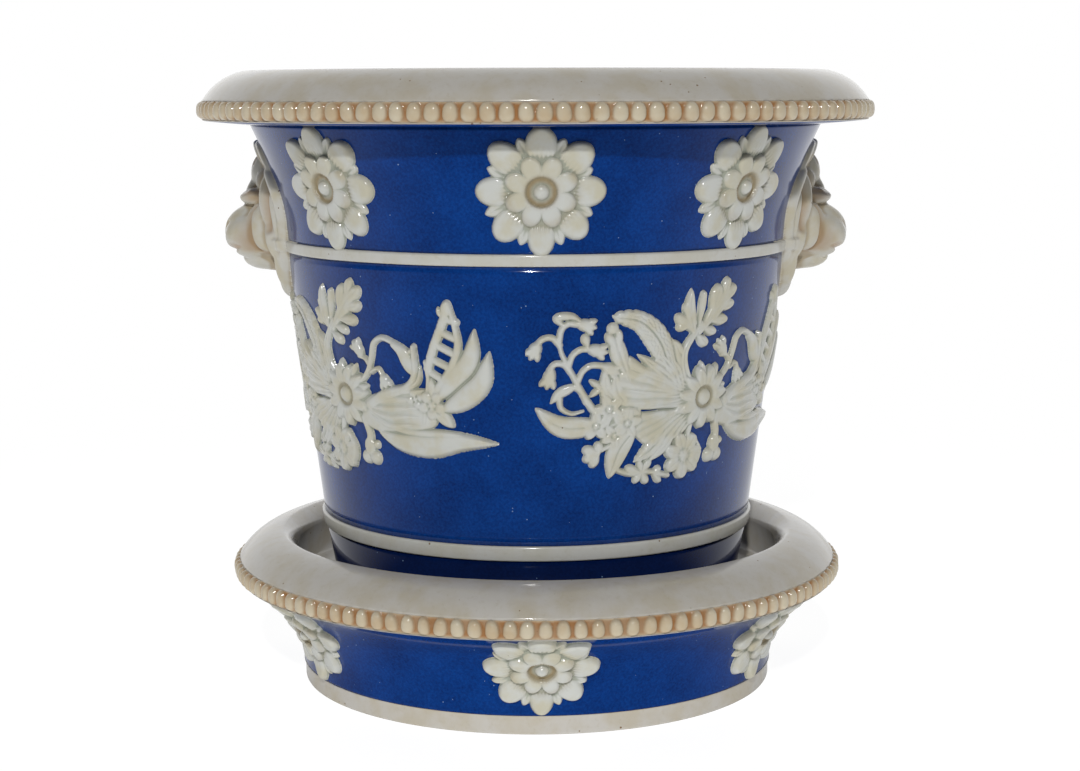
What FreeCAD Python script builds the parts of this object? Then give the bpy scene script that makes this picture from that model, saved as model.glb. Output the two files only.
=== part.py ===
import FreeCAD, Part
import Sketcher
import math
import os

# A ceramic flower pot (jardiniere) standing loose in its own drip stand: two turned and
# moulded bodies, each with coloured slip grounds, raised bands and applied sprigs.
# Millimetres, +Z up, origin on the table under the middle of the stand, the front
# rosettes face -Y and the two lion masks face +X and -X.

doc = FreeCAD.newDocument("jardiniere")


# ---------------------------------------------------------------- driving dimensions

SIZES = [
    # the drip stand, outwards and upwards from the pot's foot
    ("foot_play", 7.0, "room round the pot's foot on the flat of the stand's floor"),
    ("stand_foot_spread", 7.8, "flat of the floor to the outside of the white foot band"),
    ("stand_foot_width", 8.5, "radial width of the ring the stand rests on"),
    ("stand_foot_band", 5.6, "height of the white foot band"),
    ("stand_recess", 3.0, "how far the stand's underside is hollowed inside its foot"),
    ("stand_floor", 6.0, "thickness of the stand's floor"),
    ("stand_waist_step", 0.4, "foot band to the blue cove at its foot"),
    ("stand_flare", 16.4, "how far the blue cove flares up to the bead row"),
    ("stand_cove_height", 26.2, "height of the blue cove"),
    ("stand_cove_curve", 30.0, "radius of the blue cove in section"),
    ("stand_lip_step", 2.6, "top of the cove to the thin white lip under the beads"),
    ("stand_crest_rise", 7.8, "top of the bead seat to the top of the rounded rim"),
    ("stand_crest_inset", 15.0, "bead faces to the highest line of the rounded rim"),
    ("stand_mouth_inset", 19.0, "bead faces to the opening inside the rolled rim"),
    ("stand_mouth_drop", 5.2, "how far below the crest the mouth is narrowest"),
    ("stand_well_inset", 16.6, "bead faces to the widest part of the well"),
    ("stand_well_drop", 15.6, "how far below the crest the well is widest"),
    ("stand_shoulder_curve", 17.0, "outer round of the stand's rim in section"),
    ("stand_roll_curve", 6.0, "inner roll of the stand's rim in section"),
    ("stand_well_curve", 26.0, "round of the well wall in section"),
    ("stand_bead_count", 120, "beads round the stand"),
    # the pot, inwards from its rim and upwards from its own foot
    ("rim_reach", 100.0, "outermost face of the pot's beads, half the overall width"),
    ("rim_overhang", 15.6, "bead faces to the blue neck under the rim"),
    ("neck_flare", 9.8, "how far the neck flares, upper fillet to rim"),
    ("wall_taper", 10.9, "how far the wall draws in, upper fillet to lower fillet"),
    ("heel_taper", 6.1, "how far the wall draws in, lower fillet to the unslipped foot"),
    ("foot_taper", 1.6, "how far the unslipped foot draws in"),
    ("pot_foot_width", 8.0, "radial width of the ring the pot rests on"),
    ("pot_recess", 1.6, "how far the pot's underside is hollowed inside its foot"),
    ("pot_floor", 6.0, "thickness of the pot's floor"),
    ("drain_radius", 7.0, "drain hole in the pot's floor"),
    ("bare_foot", 6.0, "height of the unslipped foot"),
    ("heel_height", 38.4, "foot of the pot to the lower fillet"),
    ("lower_fillet_height", 4.3, "height of the lower white fillet"),
    ("main_height", 77.9, "height of the blue ground between the fillets"),
    ("upper_fillet_height", 3.3, "height of the upper white fillet"),
    ("neck_height", 33.4, "upper fillet to the underside of the rim"),
    ("neck_curve", 96.0, "radius of the flaring neck in section"),
    ("wall", 5.0, "thickness of the pot's wall"),
    ("lip_rise", 1.3, "slope of the rim's underside, neck to lip"),
    ("crest_rise", 8.6, "top of the bead seat to the top of the rounded rim"),
    ("crest_inset", 14.0, "bead faces to the highest line of the rounded rim"),
    ("rim_inner_inset", 19.0, "bead faces to the inside of the rolled rim"),
    ("rim_inner_drop", 6.5, "crest to the end of the inner roll"),
    ("shoulder_curve", 18.0, "outer round of the pot's rim in section"),
    ("roll_curve", 6.6, "inner roll of the pot's rim in section"),
    ("bead_count", 128, "beads round the pot"),
    # what both share
    ("lip_inset", 1.8, "bead faces to the thin white lip under them"),
    ("lip_height", 0.4, "height of the thin white lip under a bead row"),
    ("bead_height", 4.6, "height of a bead"),
    ("bead_width", 3.6, "width of a bead"),
    ("bead_seat_play", 0.3, "bare clay above and below the beads in their seat"),
    ("bead_backing", 1.0, "strip of clay behind the middle line of the beads"),
    ("slip_thickness", 0.35, "thickness of the blue slip ground"),
    ("fillet_relief", 0.9, "how far a white fillet stands out from the blue wall"),
    # the sprigs
    ("rosette_radius", 16.4, "petal tips of a pot rosette"),
    ("stand_rosette_radius", 15.2, "petal tips of a stand rosette"),
    ("petal_relief", 1.6, "thickness of a rosette's outer petals"),
    ("heart_relief", 2.6, "thickness of a rosette's inner petals"),
    ("button_radius", 1.8, "glossy button in a rosette's heart"),
    ("spray_relief", 1.3, "thickness of the leaves of a flower spray"),
    ("bloom_relief", 2.3, "thickness of the open flowers of a spray"),
    ("spray_centre_height", 40.0, "lower edge of the main ground to a spray's daisy"),
    ("spray_first_azimuth", 41.2, "azimuth of the first spray's daisy, from the front"),
    ("mask_centre_height", 6.7, "middle of a lion mask above the top of the upper fillet"),
    ("mask_face_radius", 13.0, "round of a mask's face"),
    ("mask_muzzle_radius", 8.0, "round of the muzzle"),
    ("mask_muzzle_stand", 19.4, "tip of the muzzle beyond the wall at the upper fillet"),
    ("mask_cheek_radius", 7.2, "round of a cheek"),
    ("mask_brow_radius", 5.4, "round of a brow"),
    ("mask_ear_radius", 4.4, "round of an ear"),
    ("mask_lock_radius", 4.8, "round of a mane lock"),
    ("mask_tuft_radius", 4.6, "round of the forelock"),
    ("mask_chin_radius", 5.2, "round of the chin"),
    ("mask_beard_length", 10.0, "length of the pointed beard"),
]

# Radii that follow from the sizes above, each piece from the one it fits to.
RADII = [
    ("lip_radius", "=rim_reach - lip_inset", "thin white lip under the pot's beads"),
    ("crest_radius", "=rim_reach - crest_inset", "highest line of the pot's rim"),
    ("rim_inner_radius", "=rim_reach - rim_inner_inset", "inside of the rolled rim"),
    ("neck_radius", "=rim_reach - rim_overhang", "blue neck under the rim"),
    ("wall_high_radius", "=neck_radius - neck_flare", "top of the upper fillet"),
    ("wall_low_radius", "=wall_high_radius - wall_taper", "bottom of the lower fillet"),
    ("heel_radius", "=wall_low_radius - heel_taper", "top of the unslipped foot"),
    ("pot_foot_radius", "=heel_radius - foot_taper", "outside of the pot's foot"),
    ("stand_floor_radius", "=pot_foot_radius + foot_play", "flat of the well floor"),
    ("stand_foot_radius", "=stand_floor_radius + stand_foot_spread", "white foot band"),
    ("stand_waist_radius", "=stand_foot_radius + stand_waist_step", "foot of the cove"),
    ("stand_flare_radius", "=stand_waist_radius + stand_flare", "top of the cove"),
    ("stand_lip_radius", "=stand_flare_radius + stand_lip_step", "lip under the beads"),
    ("stand_rim_reach", "=stand_lip_radius + lip_inset", "faces of the stand's beads"),
    ("stand_crest_radius", "=stand_rim_reach - stand_crest_inset", "highest line"),
    ("stand_mouth_radius", "=stand_rim_reach - stand_mouth_inset", "opening"),
    ("stand_well_radius", "=stand_rim_reach - stand_well_inset", "widest part of the well"),
    ("mask_muzzle_reach", "=wall_high_radius + mask_muzzle_stand", "tip of a muzzle"),
]

sizes = doc.addObject("Spreadsheet::Sheet", "sizes")
for row, (alias, content, meaning) in enumerate(SIZES + RADII, start=1):
    sizes.set(f"A{row}", meaning)
    sizes.set(f"B{row}", str(content))
    sizes.setAlias(f"B{row}", alias)
doc.recompute()


def size(expression):
    """The number that a sheet expression stands for."""
    return float(sizes.evalExpression(expression))


# Heights as sheet expressions. Stand heights start at the table, pot heights at its foot.
STAND_BAND = "sizes.stand_foot_band"
STAND_COVE_TOP = f"({STAND_BAND} + sizes.stand_cove_height)"
STAND_SEAT_LOW = f"({STAND_COVE_TOP} + sizes.lip_height)"
BEAD_SEAT = "(sizes.bead_height + 2 * sizes.bead_seat_play)"
STAND_SEAT_HIGH = f"({STAND_SEAT_LOW} + {BEAD_SEAT})"
STAND_CREST = f"({STAND_SEAT_HIGH} + sizes.stand_crest_rise)"
POT_STANDS_AT = "(sizes.stand_recess + sizes.stand_floor)"
MAIN_LOW = "(sizes.heel_height + sizes.lower_fillet_height)"
MAIN_HIGH = f"({MAIN_LOW} + sizes.main_height)"
NECK_LOW = f"({MAIN_HIGH} + sizes.upper_fillet_height)"
NECK_HIGH = f"({NECK_LOW} + sizes.neck_height)"
LIP_LOW = f"({NECK_HIGH} + sizes.lip_rise)"
SEAT_LOW = f"({LIP_LOW} + sizes.lip_height)"
SEAT_HIGH = f"({SEAT_LOW} + {BEAD_SEAT})"
CREST = f"({SEAT_HIGH} + sizes.crest_rise)"
FLOOR_TOP = "(sizes.pot_recess + sizes.pot_floor)"

# Radii as sheet expressions. Clay is what lies under the slip.
SLIP = "sizes.slip_thickness"
WALL_SLOPE = ("((sizes.wall_high_radius - sizes.wall_low_radius)"
              f" / ({NECK_LOW} - sizes.heel_height))")
BEAD_RING_RADIUS = "(sizes.rim_reach - sizes.bead_width / 2)"
STAND_BEAD_RING_RADIUS = "(sizes.stand_rim_reach - sizes.bead_width / 2)"
BEAD_RING_BACK = f"({BEAD_RING_RADIUS} - sizes.bead_backing)"
STAND_BEAD_RING_BACK = f"({STAND_BEAD_RING_RADIUS} - sizes.bead_backing)"


def wall_radius(height):
    """Outer radius of the blue wall at a height above the pot's foot, as an expression."""
    return f"(sizes.wall_low_radius + ({height} - sizes.heel_height) * {WALL_SLOPE})"


# ---------------------------------------------------------------- turned pieces

def arc_between(start, end, radius, bulge):
    """Counter-clockwise arc of a circle and whether it runs from start to end."""
    chord = end - start
    left = FreeCAD.Vector(-chord.y, chord.x, 0).normalize()
    reach = math.sqrt(radius ** 2 - (chord.Length / 2) ** 2)
    centre = (start + end) * 0.5 - left * reach * bulge
    forward = bulge < 0
    first, last = (start, end) if forward else (end, start)
    turn = math.atan2(first.y - centre.y, first.x - centre.x)
    stop = math.atan2(last.y - centre.y, last.x - centre.x)
    if stop < turn:
        stop += 2 * math.pi
    circle = Part.Circle(centre, FreeCAD.Vector(0, 0, 1), radius)
    return Part.ArcOfCircle(circle, turn, stop), forward


def draw_outline(sketch, corners):
    """Closed outline through corners, each held at its radius and height by the sheet.

    A corner is (radius, height) or (radius, height, bulge, curve): the last two bend the
    stretch to the next corner, with bulge 1 to the left of the way and -1 to the right.
    """
    places = [FreeCAD.Vector(size(c[0]), size(c[1]), 0) for c in corners]
    starts = []
    ends = []
    for i, corner in enumerate(corners):
        start = places[i]
        end = places[(i + 1) % len(places)]
        if len(corner) == 2:
            sketch.addGeometry(Part.LineSegment(start, end), False)
            forward = True
        else:
            arc, forward = arc_between(start, end, size(corner[3]), corner[2])
            sketch.addGeometry(arc, False)
        starts.append(1 if forward else 2)
        ends.append(2 if forward else 1)
    for i in range(len(corners)):
        after = (i + 1) % len(corners)
        sketch.addConstraint(Sketcher.Constraint("Coincident", i, ends[i], after, starts[after]))
    for i, corner in enumerate(corners):
        hold_corner(sketch, i, starts[i], places[i], corner)


HORIZONTAL_AXIS = -1
VERTICAL_AXIS = -2


def hold_corner(sketch, edge, end, place, corner):
    """Bind one corner, and the bend that leaves it, to the sheet."""
    rules = [("DistanceX", corner[0], place.x, VERTICAL_AXIS),
             ("DistanceY", corner[1], place.y, HORIZONTAL_AXIS)]
    for kind, expression, number, axis in rules:
        if expression == "0":
            sketch.addConstraint(Sketcher.Constraint("PointOnObject", edge, end, axis))
            continue
        rule = sketch.addConstraint(Sketcher.Constraint(kind, -1, 1, edge, end, number))
        sketch.setExpression(f"Constraints[{rule}]", expression)
    if len(corner) == 4:
        rule = sketch.addConstraint(Sketcher.Constraint("Radius", edge, size(corner[3])))
        sketch.setExpression(f"Constraints[{rule}]", corner[3])


def turned(label, corners, stands_at=None):
    """A ring or vessel turned about Z from its section."""
    body = doc.addObject("PartDesign::Body", label)
    section = body.newObject("Sketcher::SketchObject", label + "_section")
    plane = [f for f in body.Origin.OriginFeatures if f.Role == "XZ_Plane"][0]
    section.AttachmentSupport = [(plane, "")]
    section.MapMode = "FlatFace"
    draw_outline(section, corners)
    turning = body.newObject("PartDesign::Revolution", label + "_turning")
    turning.Profile = section
    turning.ReferenceAxis = (section, ["V_Axis"])
    turning.Angle = 360
    if stands_at:
        body.setExpression("Placement.Base.z", stands_at)
    doc.recompute()
    return body


def shifted(radius, step):
    return f"({radius} + {step})"


def skin(label, low, high, inner_step, outer_step, bend=None, stands_at=None):
    """A ring between two copies of a wall line, shifted sideways by two steps.

    low and high are (radius, height); bend is the wall line's curve, hollow to the outside.
    """
    rising = () if bend is None else (1, bend)
    falling = () if bend is None else (-1, bend)
    corners = [
        (shifted(low[0], inner_step), low[1]),
        (shifted(low[0], outer_step), low[1]) + rising,
        (shifted(high[0], outer_step), high[1]),
        (shifted(high[0], inner_step), high[1]) + falling,
    ]
    return turned(label, corners, stands_at)


def make_stand_body():
    waist = shifted("sizes.stand_waist_radius", f"-{SLIP}")
    flare = shifted("sizes.stand_flare_radius", f"-{SLIP}")
    foot_inside = "(sizes.stand_foot_radius - sizes.stand_foot_width)"
    return turned("stand_body", [
        ("0", "sizes.stand_recess"),
        (foot_inside, "sizes.stand_recess"),
        (foot_inside, "0"),
        ("sizes.stand_foot_radius", "0"),
        ("sizes.stand_foot_radius", STAND_BAND),
        (waist, STAND_BAND, 1, "sizes.stand_cove_curve"),
        (flare, STAND_COVE_TOP),
        ("sizes.stand_lip_radius", STAND_COVE_TOP),
        ("sizes.stand_lip_radius", STAND_SEAT_LOW),
        (STAND_BEAD_RING_BACK, STAND_SEAT_LOW),
        (STAND_BEAD_RING_BACK, STAND_SEAT_HIGH),
        (STAND_BEAD_RING_RADIUS, STAND_SEAT_HIGH, -1, "sizes.stand_shoulder_curve"),
        ("sizes.stand_crest_radius", STAND_CREST, -1, "sizes.stand_roll_curve"),
        ("sizes.stand_mouth_radius", f"({STAND_CREST} - sizes.stand_mouth_drop)"),
        ("sizes.stand_well_radius", f"({STAND_CREST} - sizes.stand_well_drop)",
         -1, "sizes.stand_well_curve"),
        ("sizes.stand_floor_radius", POT_STANDS_AT),
        ("0", POT_STANDS_AT),
    ])


def make_pot_body():
    low = shifted("sizes.wall_low_radius", f"-{SLIP}")
    high = shifted("sizes.wall_high_radius", f"-{SLIP}")
    neck = shifted("sizes.neck_radius", f"-{SLIP}")
    heel = shifted("sizes.heel_radius", f"-{SLIP}")
    foot_inside = "(sizes.pot_foot_radius - sizes.pot_foot_width)"
    inside_floor = "(sizes.heel_radius - sizes.wall)"
    return turned("pot_body", [
        ("sizes.drain_radius", "sizes.pot_recess"),
        (foot_inside, "sizes.pot_recess"),
        (foot_inside, "0"),
        ("sizes.pot_foot_radius", "0"),
        ("sizes.heel_radius", "sizes.bare_foot"),
        (heel, "sizes.bare_foot"),
        (low, "sizes.heel_height"),
        (high, NECK_LOW, 1, "sizes.neck_curve"),
        (neck, NECK_HIGH),
        ("sizes.lip_radius", LIP_LOW),
        ("sizes.lip_radius", SEAT_LOW),
        (BEAD_RING_BACK, SEAT_LOW),
        (BEAD_RING_BACK, SEAT_HIGH),
        (BEAD_RING_RADIUS, SEAT_HIGH, -1, "sizes.shoulder_curve"),
        ("sizes.crest_radius", CREST, -1, "sizes.roll_curve"),
        ("sizes.rim_inner_radius", f"({CREST} - sizes.rim_inner_drop)"),
        ("(sizes.neck_radius - sizes.wall)", NECK_HIGH, -1, "sizes.neck_curve"),
        ("(sizes.wall_high_radius - sizes.wall)", NECK_LOW),
        ("(sizes.wall_low_radius - sizes.wall)", "sizes.heel_height"),
        (inside_floor, FLOOR_TOP),
        ("sizes.drain_radius", FLOOR_TOP),
    ], POT_STANDS_AT)


def make_grounds_and_fillets():
    """The blue slip grounds and the white fillets, bottom to top."""
    low = ("sizes.wall_low_radius", "sizes.heel_height")
    main_low = (wall_radius(MAIN_LOW), MAIN_LOW)
    main_high = (wall_radius(MAIN_HIGH), MAIN_HIGH)
    high = ("sizes.wall_high_radius", NECK_LOW)
    neck = ("sizes.neck_radius", NECK_HIGH)
    relief = "sizes.fillet_relief"
    under = f"-{SLIP}"
    waist = ("sizes.stand_waist_radius", STAND_BAND)
    flare = ("sizes.stand_flare_radius", STAND_COVE_TOP)
    return [
        skin("stand_blue_ground", waist, flare, under, "0", "sizes.stand_cove_curve"),
        skin("pot_blue_ground_foot", ("sizes.heel_radius", "sizes.bare_foot"), low,
             under, "0", stands_at=POT_STANDS_AT),
        skin("lower_white_fillet", low, main_low, under, relief, stands_at=POT_STANDS_AT),
        skin("pot_blue_ground_main", main_low, main_high, under, "0",
             stands_at=POT_STANDS_AT),
        skin("upper_white_fillet", main_high, high, under, relief, stands_at=POT_STANDS_AT),
        skin("pot_blue_ground_neck", high, neck, under, "0", "sizes.neck_curve",
             POT_STANDS_AT),
    ]


# ---------------------------------------------------------------- shapes set in code

def feature(label, shape, azimuth=0.0, height=0.0):
    """A piece whose shape is worked out here, turned to its azimuth and set at a height."""
    piece = doc.addObject("Part::Feature", label)
    piece.Shape = shape
    turn = FreeCAD.Rotation(FreeCAD.Vector(0, 0, 1), azimuth)
    piece.Placement = FreeCAD.Placement(FreeCAD.Vector(0, 0, height), turn)
    return piece


def turned_shape(corners):
    """Solid of revolution about Z from straight and bent edges: (radius, height) or
    (radius, height, bend), where bend is the centre and radius of a hollow curve."""
    edges = []
    for i, corner in enumerate(corners):
        start = FreeCAD.Vector(corner[0], 0, corner[1])
        after = corners[(i + 1) % len(corners)]
        end = FreeCAD.Vector(after[0], 0, after[1])
        if len(corner) == 2:
            edges.append(Part.makeLine(start, end))
        else:
            middle = bend_middle(start, end, corner[2])
            edges.append(Part.Arc(start, middle, end).toShape())
    section = Part.Face(Part.Wire(edges))
    return section.revolve(FreeCAD.Vector(0, 0, 0), FreeCAD.Vector(0, 0, 1), 360)


def bend_middle(start, end, curve):
    """Middle of an arc that is hollow to the outside of the vessel."""
    chord = end - start
    inward = FreeCAD.Vector(-abs(chord.z), 0, abs(chord.x)).normalize()
    sagitta = curve - math.sqrt(curve ** 2 - (chord.Length / 2) ** 2)
    return (start + end) * 0.5 + inward * sagitta


def relief_shell(low, high, relief, curve=None):
    """The space from a wall line out to a relief's height, all the way round."""
    bend = () if curve is None else (curve,)
    return turned_shape([
        low,
        (low[0] + relief, low[1]) + bend,
        (high[0] + relief, high[1]),
        high + bend,
    ])


# ---------------------------------------------------------------- bead rows

def bead_row(label, ring_radius, ring_back, seat_low, count, height=0.0):
    """A moulded strip of upright round-ended beads on a thin backing, in its seat."""
    axis = FreeCAD.Vector(0, 0, 1)
    seat = size(BEAD_SEAT)
    low_back = FreeCAD.Vector(ring_back, 0, seat_low)
    low_front = FreeCAD.Vector(ring_radius, 0, seat_low)
    rise = FreeCAD.Vector(0, 0, seat)
    section = Part.Face(Part.makePolygon(
        [low_back, low_front, low_front + rise, low_back + rise, low_back]))
    backing = section.revolve(FreeCAD.Vector(0, 0, 0), axis, 360.0 / count)
    radius = size("sizes.bead_width") / 2
    straight = size("sizes.bead_height") - 2 * radius
    half_step = FreeCAD.Rotation(axis, 180.0 / count)
    bottom = half_step.multVec(FreeCAD.Vector(
        ring_radius, 0, seat_low + size("sizes.bead_seat_play") + radius))
    top = bottom + axis * straight
    bead = Part.makeCylinder(radius, straight, bottom)
    bead = bead.fuse([Part.makeSphere(radius, bottom), Part.makeSphere(radius, top)])
    bead = bead.cut(Part.makeCylinder(ring_back, seat, FreeCAD.Vector(0, 0, seat_low)))
    step = backing.fuse(bead)
    steps = []
    for i in range(count):
        turn = FreeCAD.Placement(FreeCAD.Vector(), FreeCAD.Rotation(axis, 360.0 * i / count))
        steps.append(step.transformed(turn.toMatrix()))
    return feature(label, steps[0].fuse(steps[1:]), height=height)


def make_bead_rows():
    return [
        bead_row("stand_bead_row", size(STAND_BEAD_RING_RADIUS), size(STAND_BEAD_RING_BACK),
                 size(STAND_SEAT_LOW), int(size("sizes.stand_bead_count"))),
        bead_row("pot_bead_row", size(BEAD_RING_RADIUS), size(BEAD_RING_BACK),
                 size(SEAT_LOW), int(size("sizes.bead_count")), size(POT_STANDS_AT)),
    ]


# ---------------------------------------------------------------- sprig outlines

# A sprig is drawn flat, seen from outside the front of the vessel (x to the right, z up),
# pushed towards the axis and kept where it crosses the relief space of its wall.

def ring_of(count, start=0.0):
    return [math.radians(start + 360.0 * i / count) for i in range(count)]


def disc(x, z, radius):
    outward = FreeCAD.Vector(0, -1, 0)
    return Part.Face(Part.Wire(Part.makeCircle(radius, FreeCAD.Vector(x, 0, z), outward)))


def polygon(points):
    corners = [FreeCAD.Vector(x, 0, z) for x, z in points]
    face = Part.Face(Part.makePolygon(corners + corners[:1]))
    if face.normalAt(0, 0).y > 0:
        face.reverse()
    return face


def leaf(start, end, width, sway=0.0):
    """A pointed leaf between two tips; sway bends it to the left of its way."""
    tip_a = FreeCAD.Vector(start[0], 0, start[1])
    tip_b = FreeCAD.Vector(end[0], 0, end[1])
    along = tip_b - tip_a
    left = FreeCAD.Vector(-along.z, 0, along.x).normalize()
    middle = (tip_a + tip_b) * 0.5 + left * sway
    one = Part.Arc(tip_a, middle - left * (width / 2), tip_b).toShape()
    other = Part.Arc(tip_b, middle + left * (width / 2), tip_a).toShape()
    return Part.Face(Part.Wire([one, other]))


def stem(points, width):
    """A strip of even width along a line of points."""
    way = [FreeCAD.Vector(x, 0, z) for x, z in points]
    left_side = []
    right_side = []
    for i, point in enumerate(way):
        ahead = way[min(i + 1, len(way) - 1)] - way[max(i - 1, 0)]
        left = FreeCAD.Vector(-ahead.z, 0, ahead.x).normalize() * (width / 2)
        left_side.append(point + left)
        right_side.append(point - left)
    corners = right_side + left_side[::-1]
    return Part.Face(Part.makePolygon(corners + corners[:1]))


PETAL_ROOT_HALF = 0.3


def petal(x, z, angle, root, tip, width):
    """A rounded petal round a flower's centre, from its root distance to its tip."""
    round_centre = tip - width / 2
    root_half = width * PETAL_ROOT_HALF
    sine = math.sin(angle)
    cosine = math.cos(angle)

    def at(along, across):
        return (x + along * cosine - across * sine, z + along * sine + across * cosine)

    blade = polygon([at(root, -root_half), at(round_centre, -width / 2),
                     at(round_centre, width / 2), at(root, root_half)])
    return [blade, disc(*at(round_centre, 0), width / 2)]


def pushed_in(faces, reach, depth):
    """One solid from outlines drawn flat, standing off the wall and pushed to the axis."""
    joined = faces[0].fuse(faces[1:])
    sheet = Part.makeShell(joined.Faces).removeSplitter()
    sheet.translate(FreeCAD.Vector(0, -reach, 0))
    solids = [face.extrude(FreeCAD.Vector(0, depth, 0)) for face in sheet.Faces]
    return solids[0] if len(solids) == 1 else Part.makeCompound(solids)


# ---------------------------------------------------------------- rosettes

PETALS = 8

# Parts of a rosette as shares of the distance to its petal tips.
OUTER_DISC = 0.55
INNER_DISC = 0.3
OUTER_PETAL = {"root": 0.3, "tip": 1.0, "width": 0.46}
INNER_PETAL = {"root": 0.15, "tip": 0.58, "width": 0.27}
SEPAL = {"root": 0.4, "tip": 0.9, "width": 0.22}


def scaled_petal(z, angle, shares, reach):
    """A rosette's petal from its shares of the distance to the petal tips."""
    return petal(0, z, angle, shares["root"] * reach, shares["tip"] * reach,
                 shares["width"] * reach)


def sepal(z, angle, reach):
    """A pointed sepal that shows between two petals."""
    x = math.cos(angle) * reach
    rise = math.sin(angle) * reach
    return leaf((x * SEPAL["root"], z + rise * SEPAL["root"]),
                (x * SEPAL["tip"], z + rise * SEPAL["tip"]), SEPAL["width"] * reach)


def rosette(low, high, curve, tip, middle, reach):
    """A double rosette on a wall line: eight spoon petals and sepals, eight inner petals
    and a glossy button. middle is the (radius, height) of its heart on the wall."""
    outer = [disc(0, middle[1], tip * OUTER_DISC)]
    inner = [disc(0, middle[1], tip * INNER_DISC)]
    for angle in ring_of(PETALS):
        outer += scaled_petal(middle[1], angle, OUTER_PETAL, tip)
    for angle in ring_of(PETALS, 180.0 / PETALS):
        outer.append(sepal(middle[1], angle, tip))
        inner += scaled_petal(middle[1], angle, INNER_PETAL, tip)
    petals = relief_shell(low, high, size("sizes.petal_relief"), curve)
    heart = relief_shell(low, high, size("sizes.heart_relief"), curve)
    flower = pushed_in(outer, reach, reach).common(petals)
    flower = flower.fuse(pushed_in(inner, reach, reach).common(heart))
    ball_centre = FreeCAD.Vector(0, -middle[0] - size("sizes.heart_relief"), middle[1])
    flower = flower.fuse(Part.makeSphere(size("sizes.button_radius"), ball_centre))
    return flower.Solids[0] if len(flower.Solids) == 1 else flower


def make_pot_rosettes():
    low = (size("sizes.wall_high_radius"), size(NECK_LOW))
    high = (size("sizes.neck_radius"), size(NECK_HIGH))
    curve = size("sizes.neck_curve")
    middle_height = (low[1] + high[1]) / 2
    start = FreeCAD.Vector(low[0], 0, low[1])
    end = FreeCAD.Vector(high[0], 0, high[1])
    middle = (bend_middle(start, end, curve).x, middle_height)
    shape = rosette(low, high, curve, size("sizes.rosette_radius"), middle,
                    size("sizes.rim_reach"))
    places = [("front", 0), ("front_right", 45), ("back_right", 135), ("back", 180),
              ("back_left", 225), ("front_left", 315)]
    return [feature("pot_rosette_" + name, shape.copy(), azimuth, size(POT_STANDS_AT))
            for name, azimuth in places]


def make_stand_rosettes():
    low = (size("sizes.stand_waist_radius"), size(STAND_BAND))
    high = (size("sizes.stand_flare_radius"), size(STAND_COVE_TOP))
    curve = size("sizes.stand_cove_curve")
    start = FreeCAD.Vector(low[0], 0, low[1])
    end = FreeCAD.Vector(high[0], 0, high[1])
    heart = bend_middle(start, end, curve)
    shape = rosette(low, high, curve, size("sizes.stand_rosette_radius"),
                    (heart.x, heart.z), size("sizes.rim_reach"))
    places = [("front", 0), ("front_right", 60), ("back_right", 120), ("back", 180),
              ("back_left", 240), ("front_left", 300)]
    return [feature("stand_rosette_" + name, shape.copy(), azimuth)
            for name, azimuth in places]


# ---------------------------------------------------------------- flower sprays

# Outlines of the one spray mould, in millimetres along and up the wall from the centre
# of its daisy.

SPRAY_STEMS = [
    (1.5, [(-33, -4), (-37, 2), (-39.6, 6.8), (-41.3, 10.5), (-42.5, 13.8), (-44.3, 17.4)]),
    (1.1, [(-44.0, 17.0), (-46.3, 18.4), (-48.3, 18.0), (-50, 16.5)]),
    (1.1, [(-43.9, 17.0), (-43.6, 20.5), (-42.0, 22.5), (-40.0, 22.7), (-38.2, 21.6)]),
    (1.1, [(-41.4, 10.4), (-40.8, 13.4), (-39.0, 15.4), (-36.5, 15.8), (-34.5, 14.6)]),
    (1.1, [(-40.8, 9.3), (-42.5, 11.3), (-44.6, 11.9), (-46.4, 10.6)]),
    (1.1, [(-38.8, 6.4), (-37.0, 9.7), (-34.6, 10.9), (-30.5, 10.2)]),
    (1.1, [(-36.4, 0.6), (-37.5, 3.4), (-39.6, 5.1), (-42.2, 4.7), (-44.4, 1.5), (-41, -2)]),
    (1.0, [(-35.4, -0.6), (-34.0, 2.2), (-32.6, 4.6)]),
    (1.2, [(-30.5, -9), (-28.5, -11.5), (-33, -13.5)]),
    (1.4, [(-26.8, -18.0), (-22.5, -20.1), (-19.2, -19.9), (-15, -20.3), (-10, -21.4)]),
    (3.0, [(-13.5, 9.0), (-15.2, 14.9), (-18.6, 18.8), (-23.0, 22.2), (-28.2, 24.6)]),
    (4.0, [(-8.0, 4.0), (-9.8, 10.0), (-10.2, 15.0), (-6.2, 18.5)]),
    (1.8, [(-10.5, 10.0), (-12.6, 15.6), (-14.6, 18.0)]),
    (1.6, [(5.5, 1.5), (9.0, 5.0), (11.3, 10.0), (12.9, 15.1), (15.8, 16.6), (19.2, 15.6)]),
    (1.3, [(11.0, 9.0), (8.6, 10.6), (6.3, 12.2)]),
    (1.1, [(10.8, 8.0), (12.8, 8.6), (14.3, 6.5)]),
    (2.6, [(11.0, -1.0), (17.0, 2.4), (21.8, 4.2), (25.4, 8.0), (26.2, 14.4)]),
    (1.6, [(8.0, -6.0), (7.6, -11.5)]),
    (1.6, [(-5.5, -7.5), (-4.6, -13.0)]),
]

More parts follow.
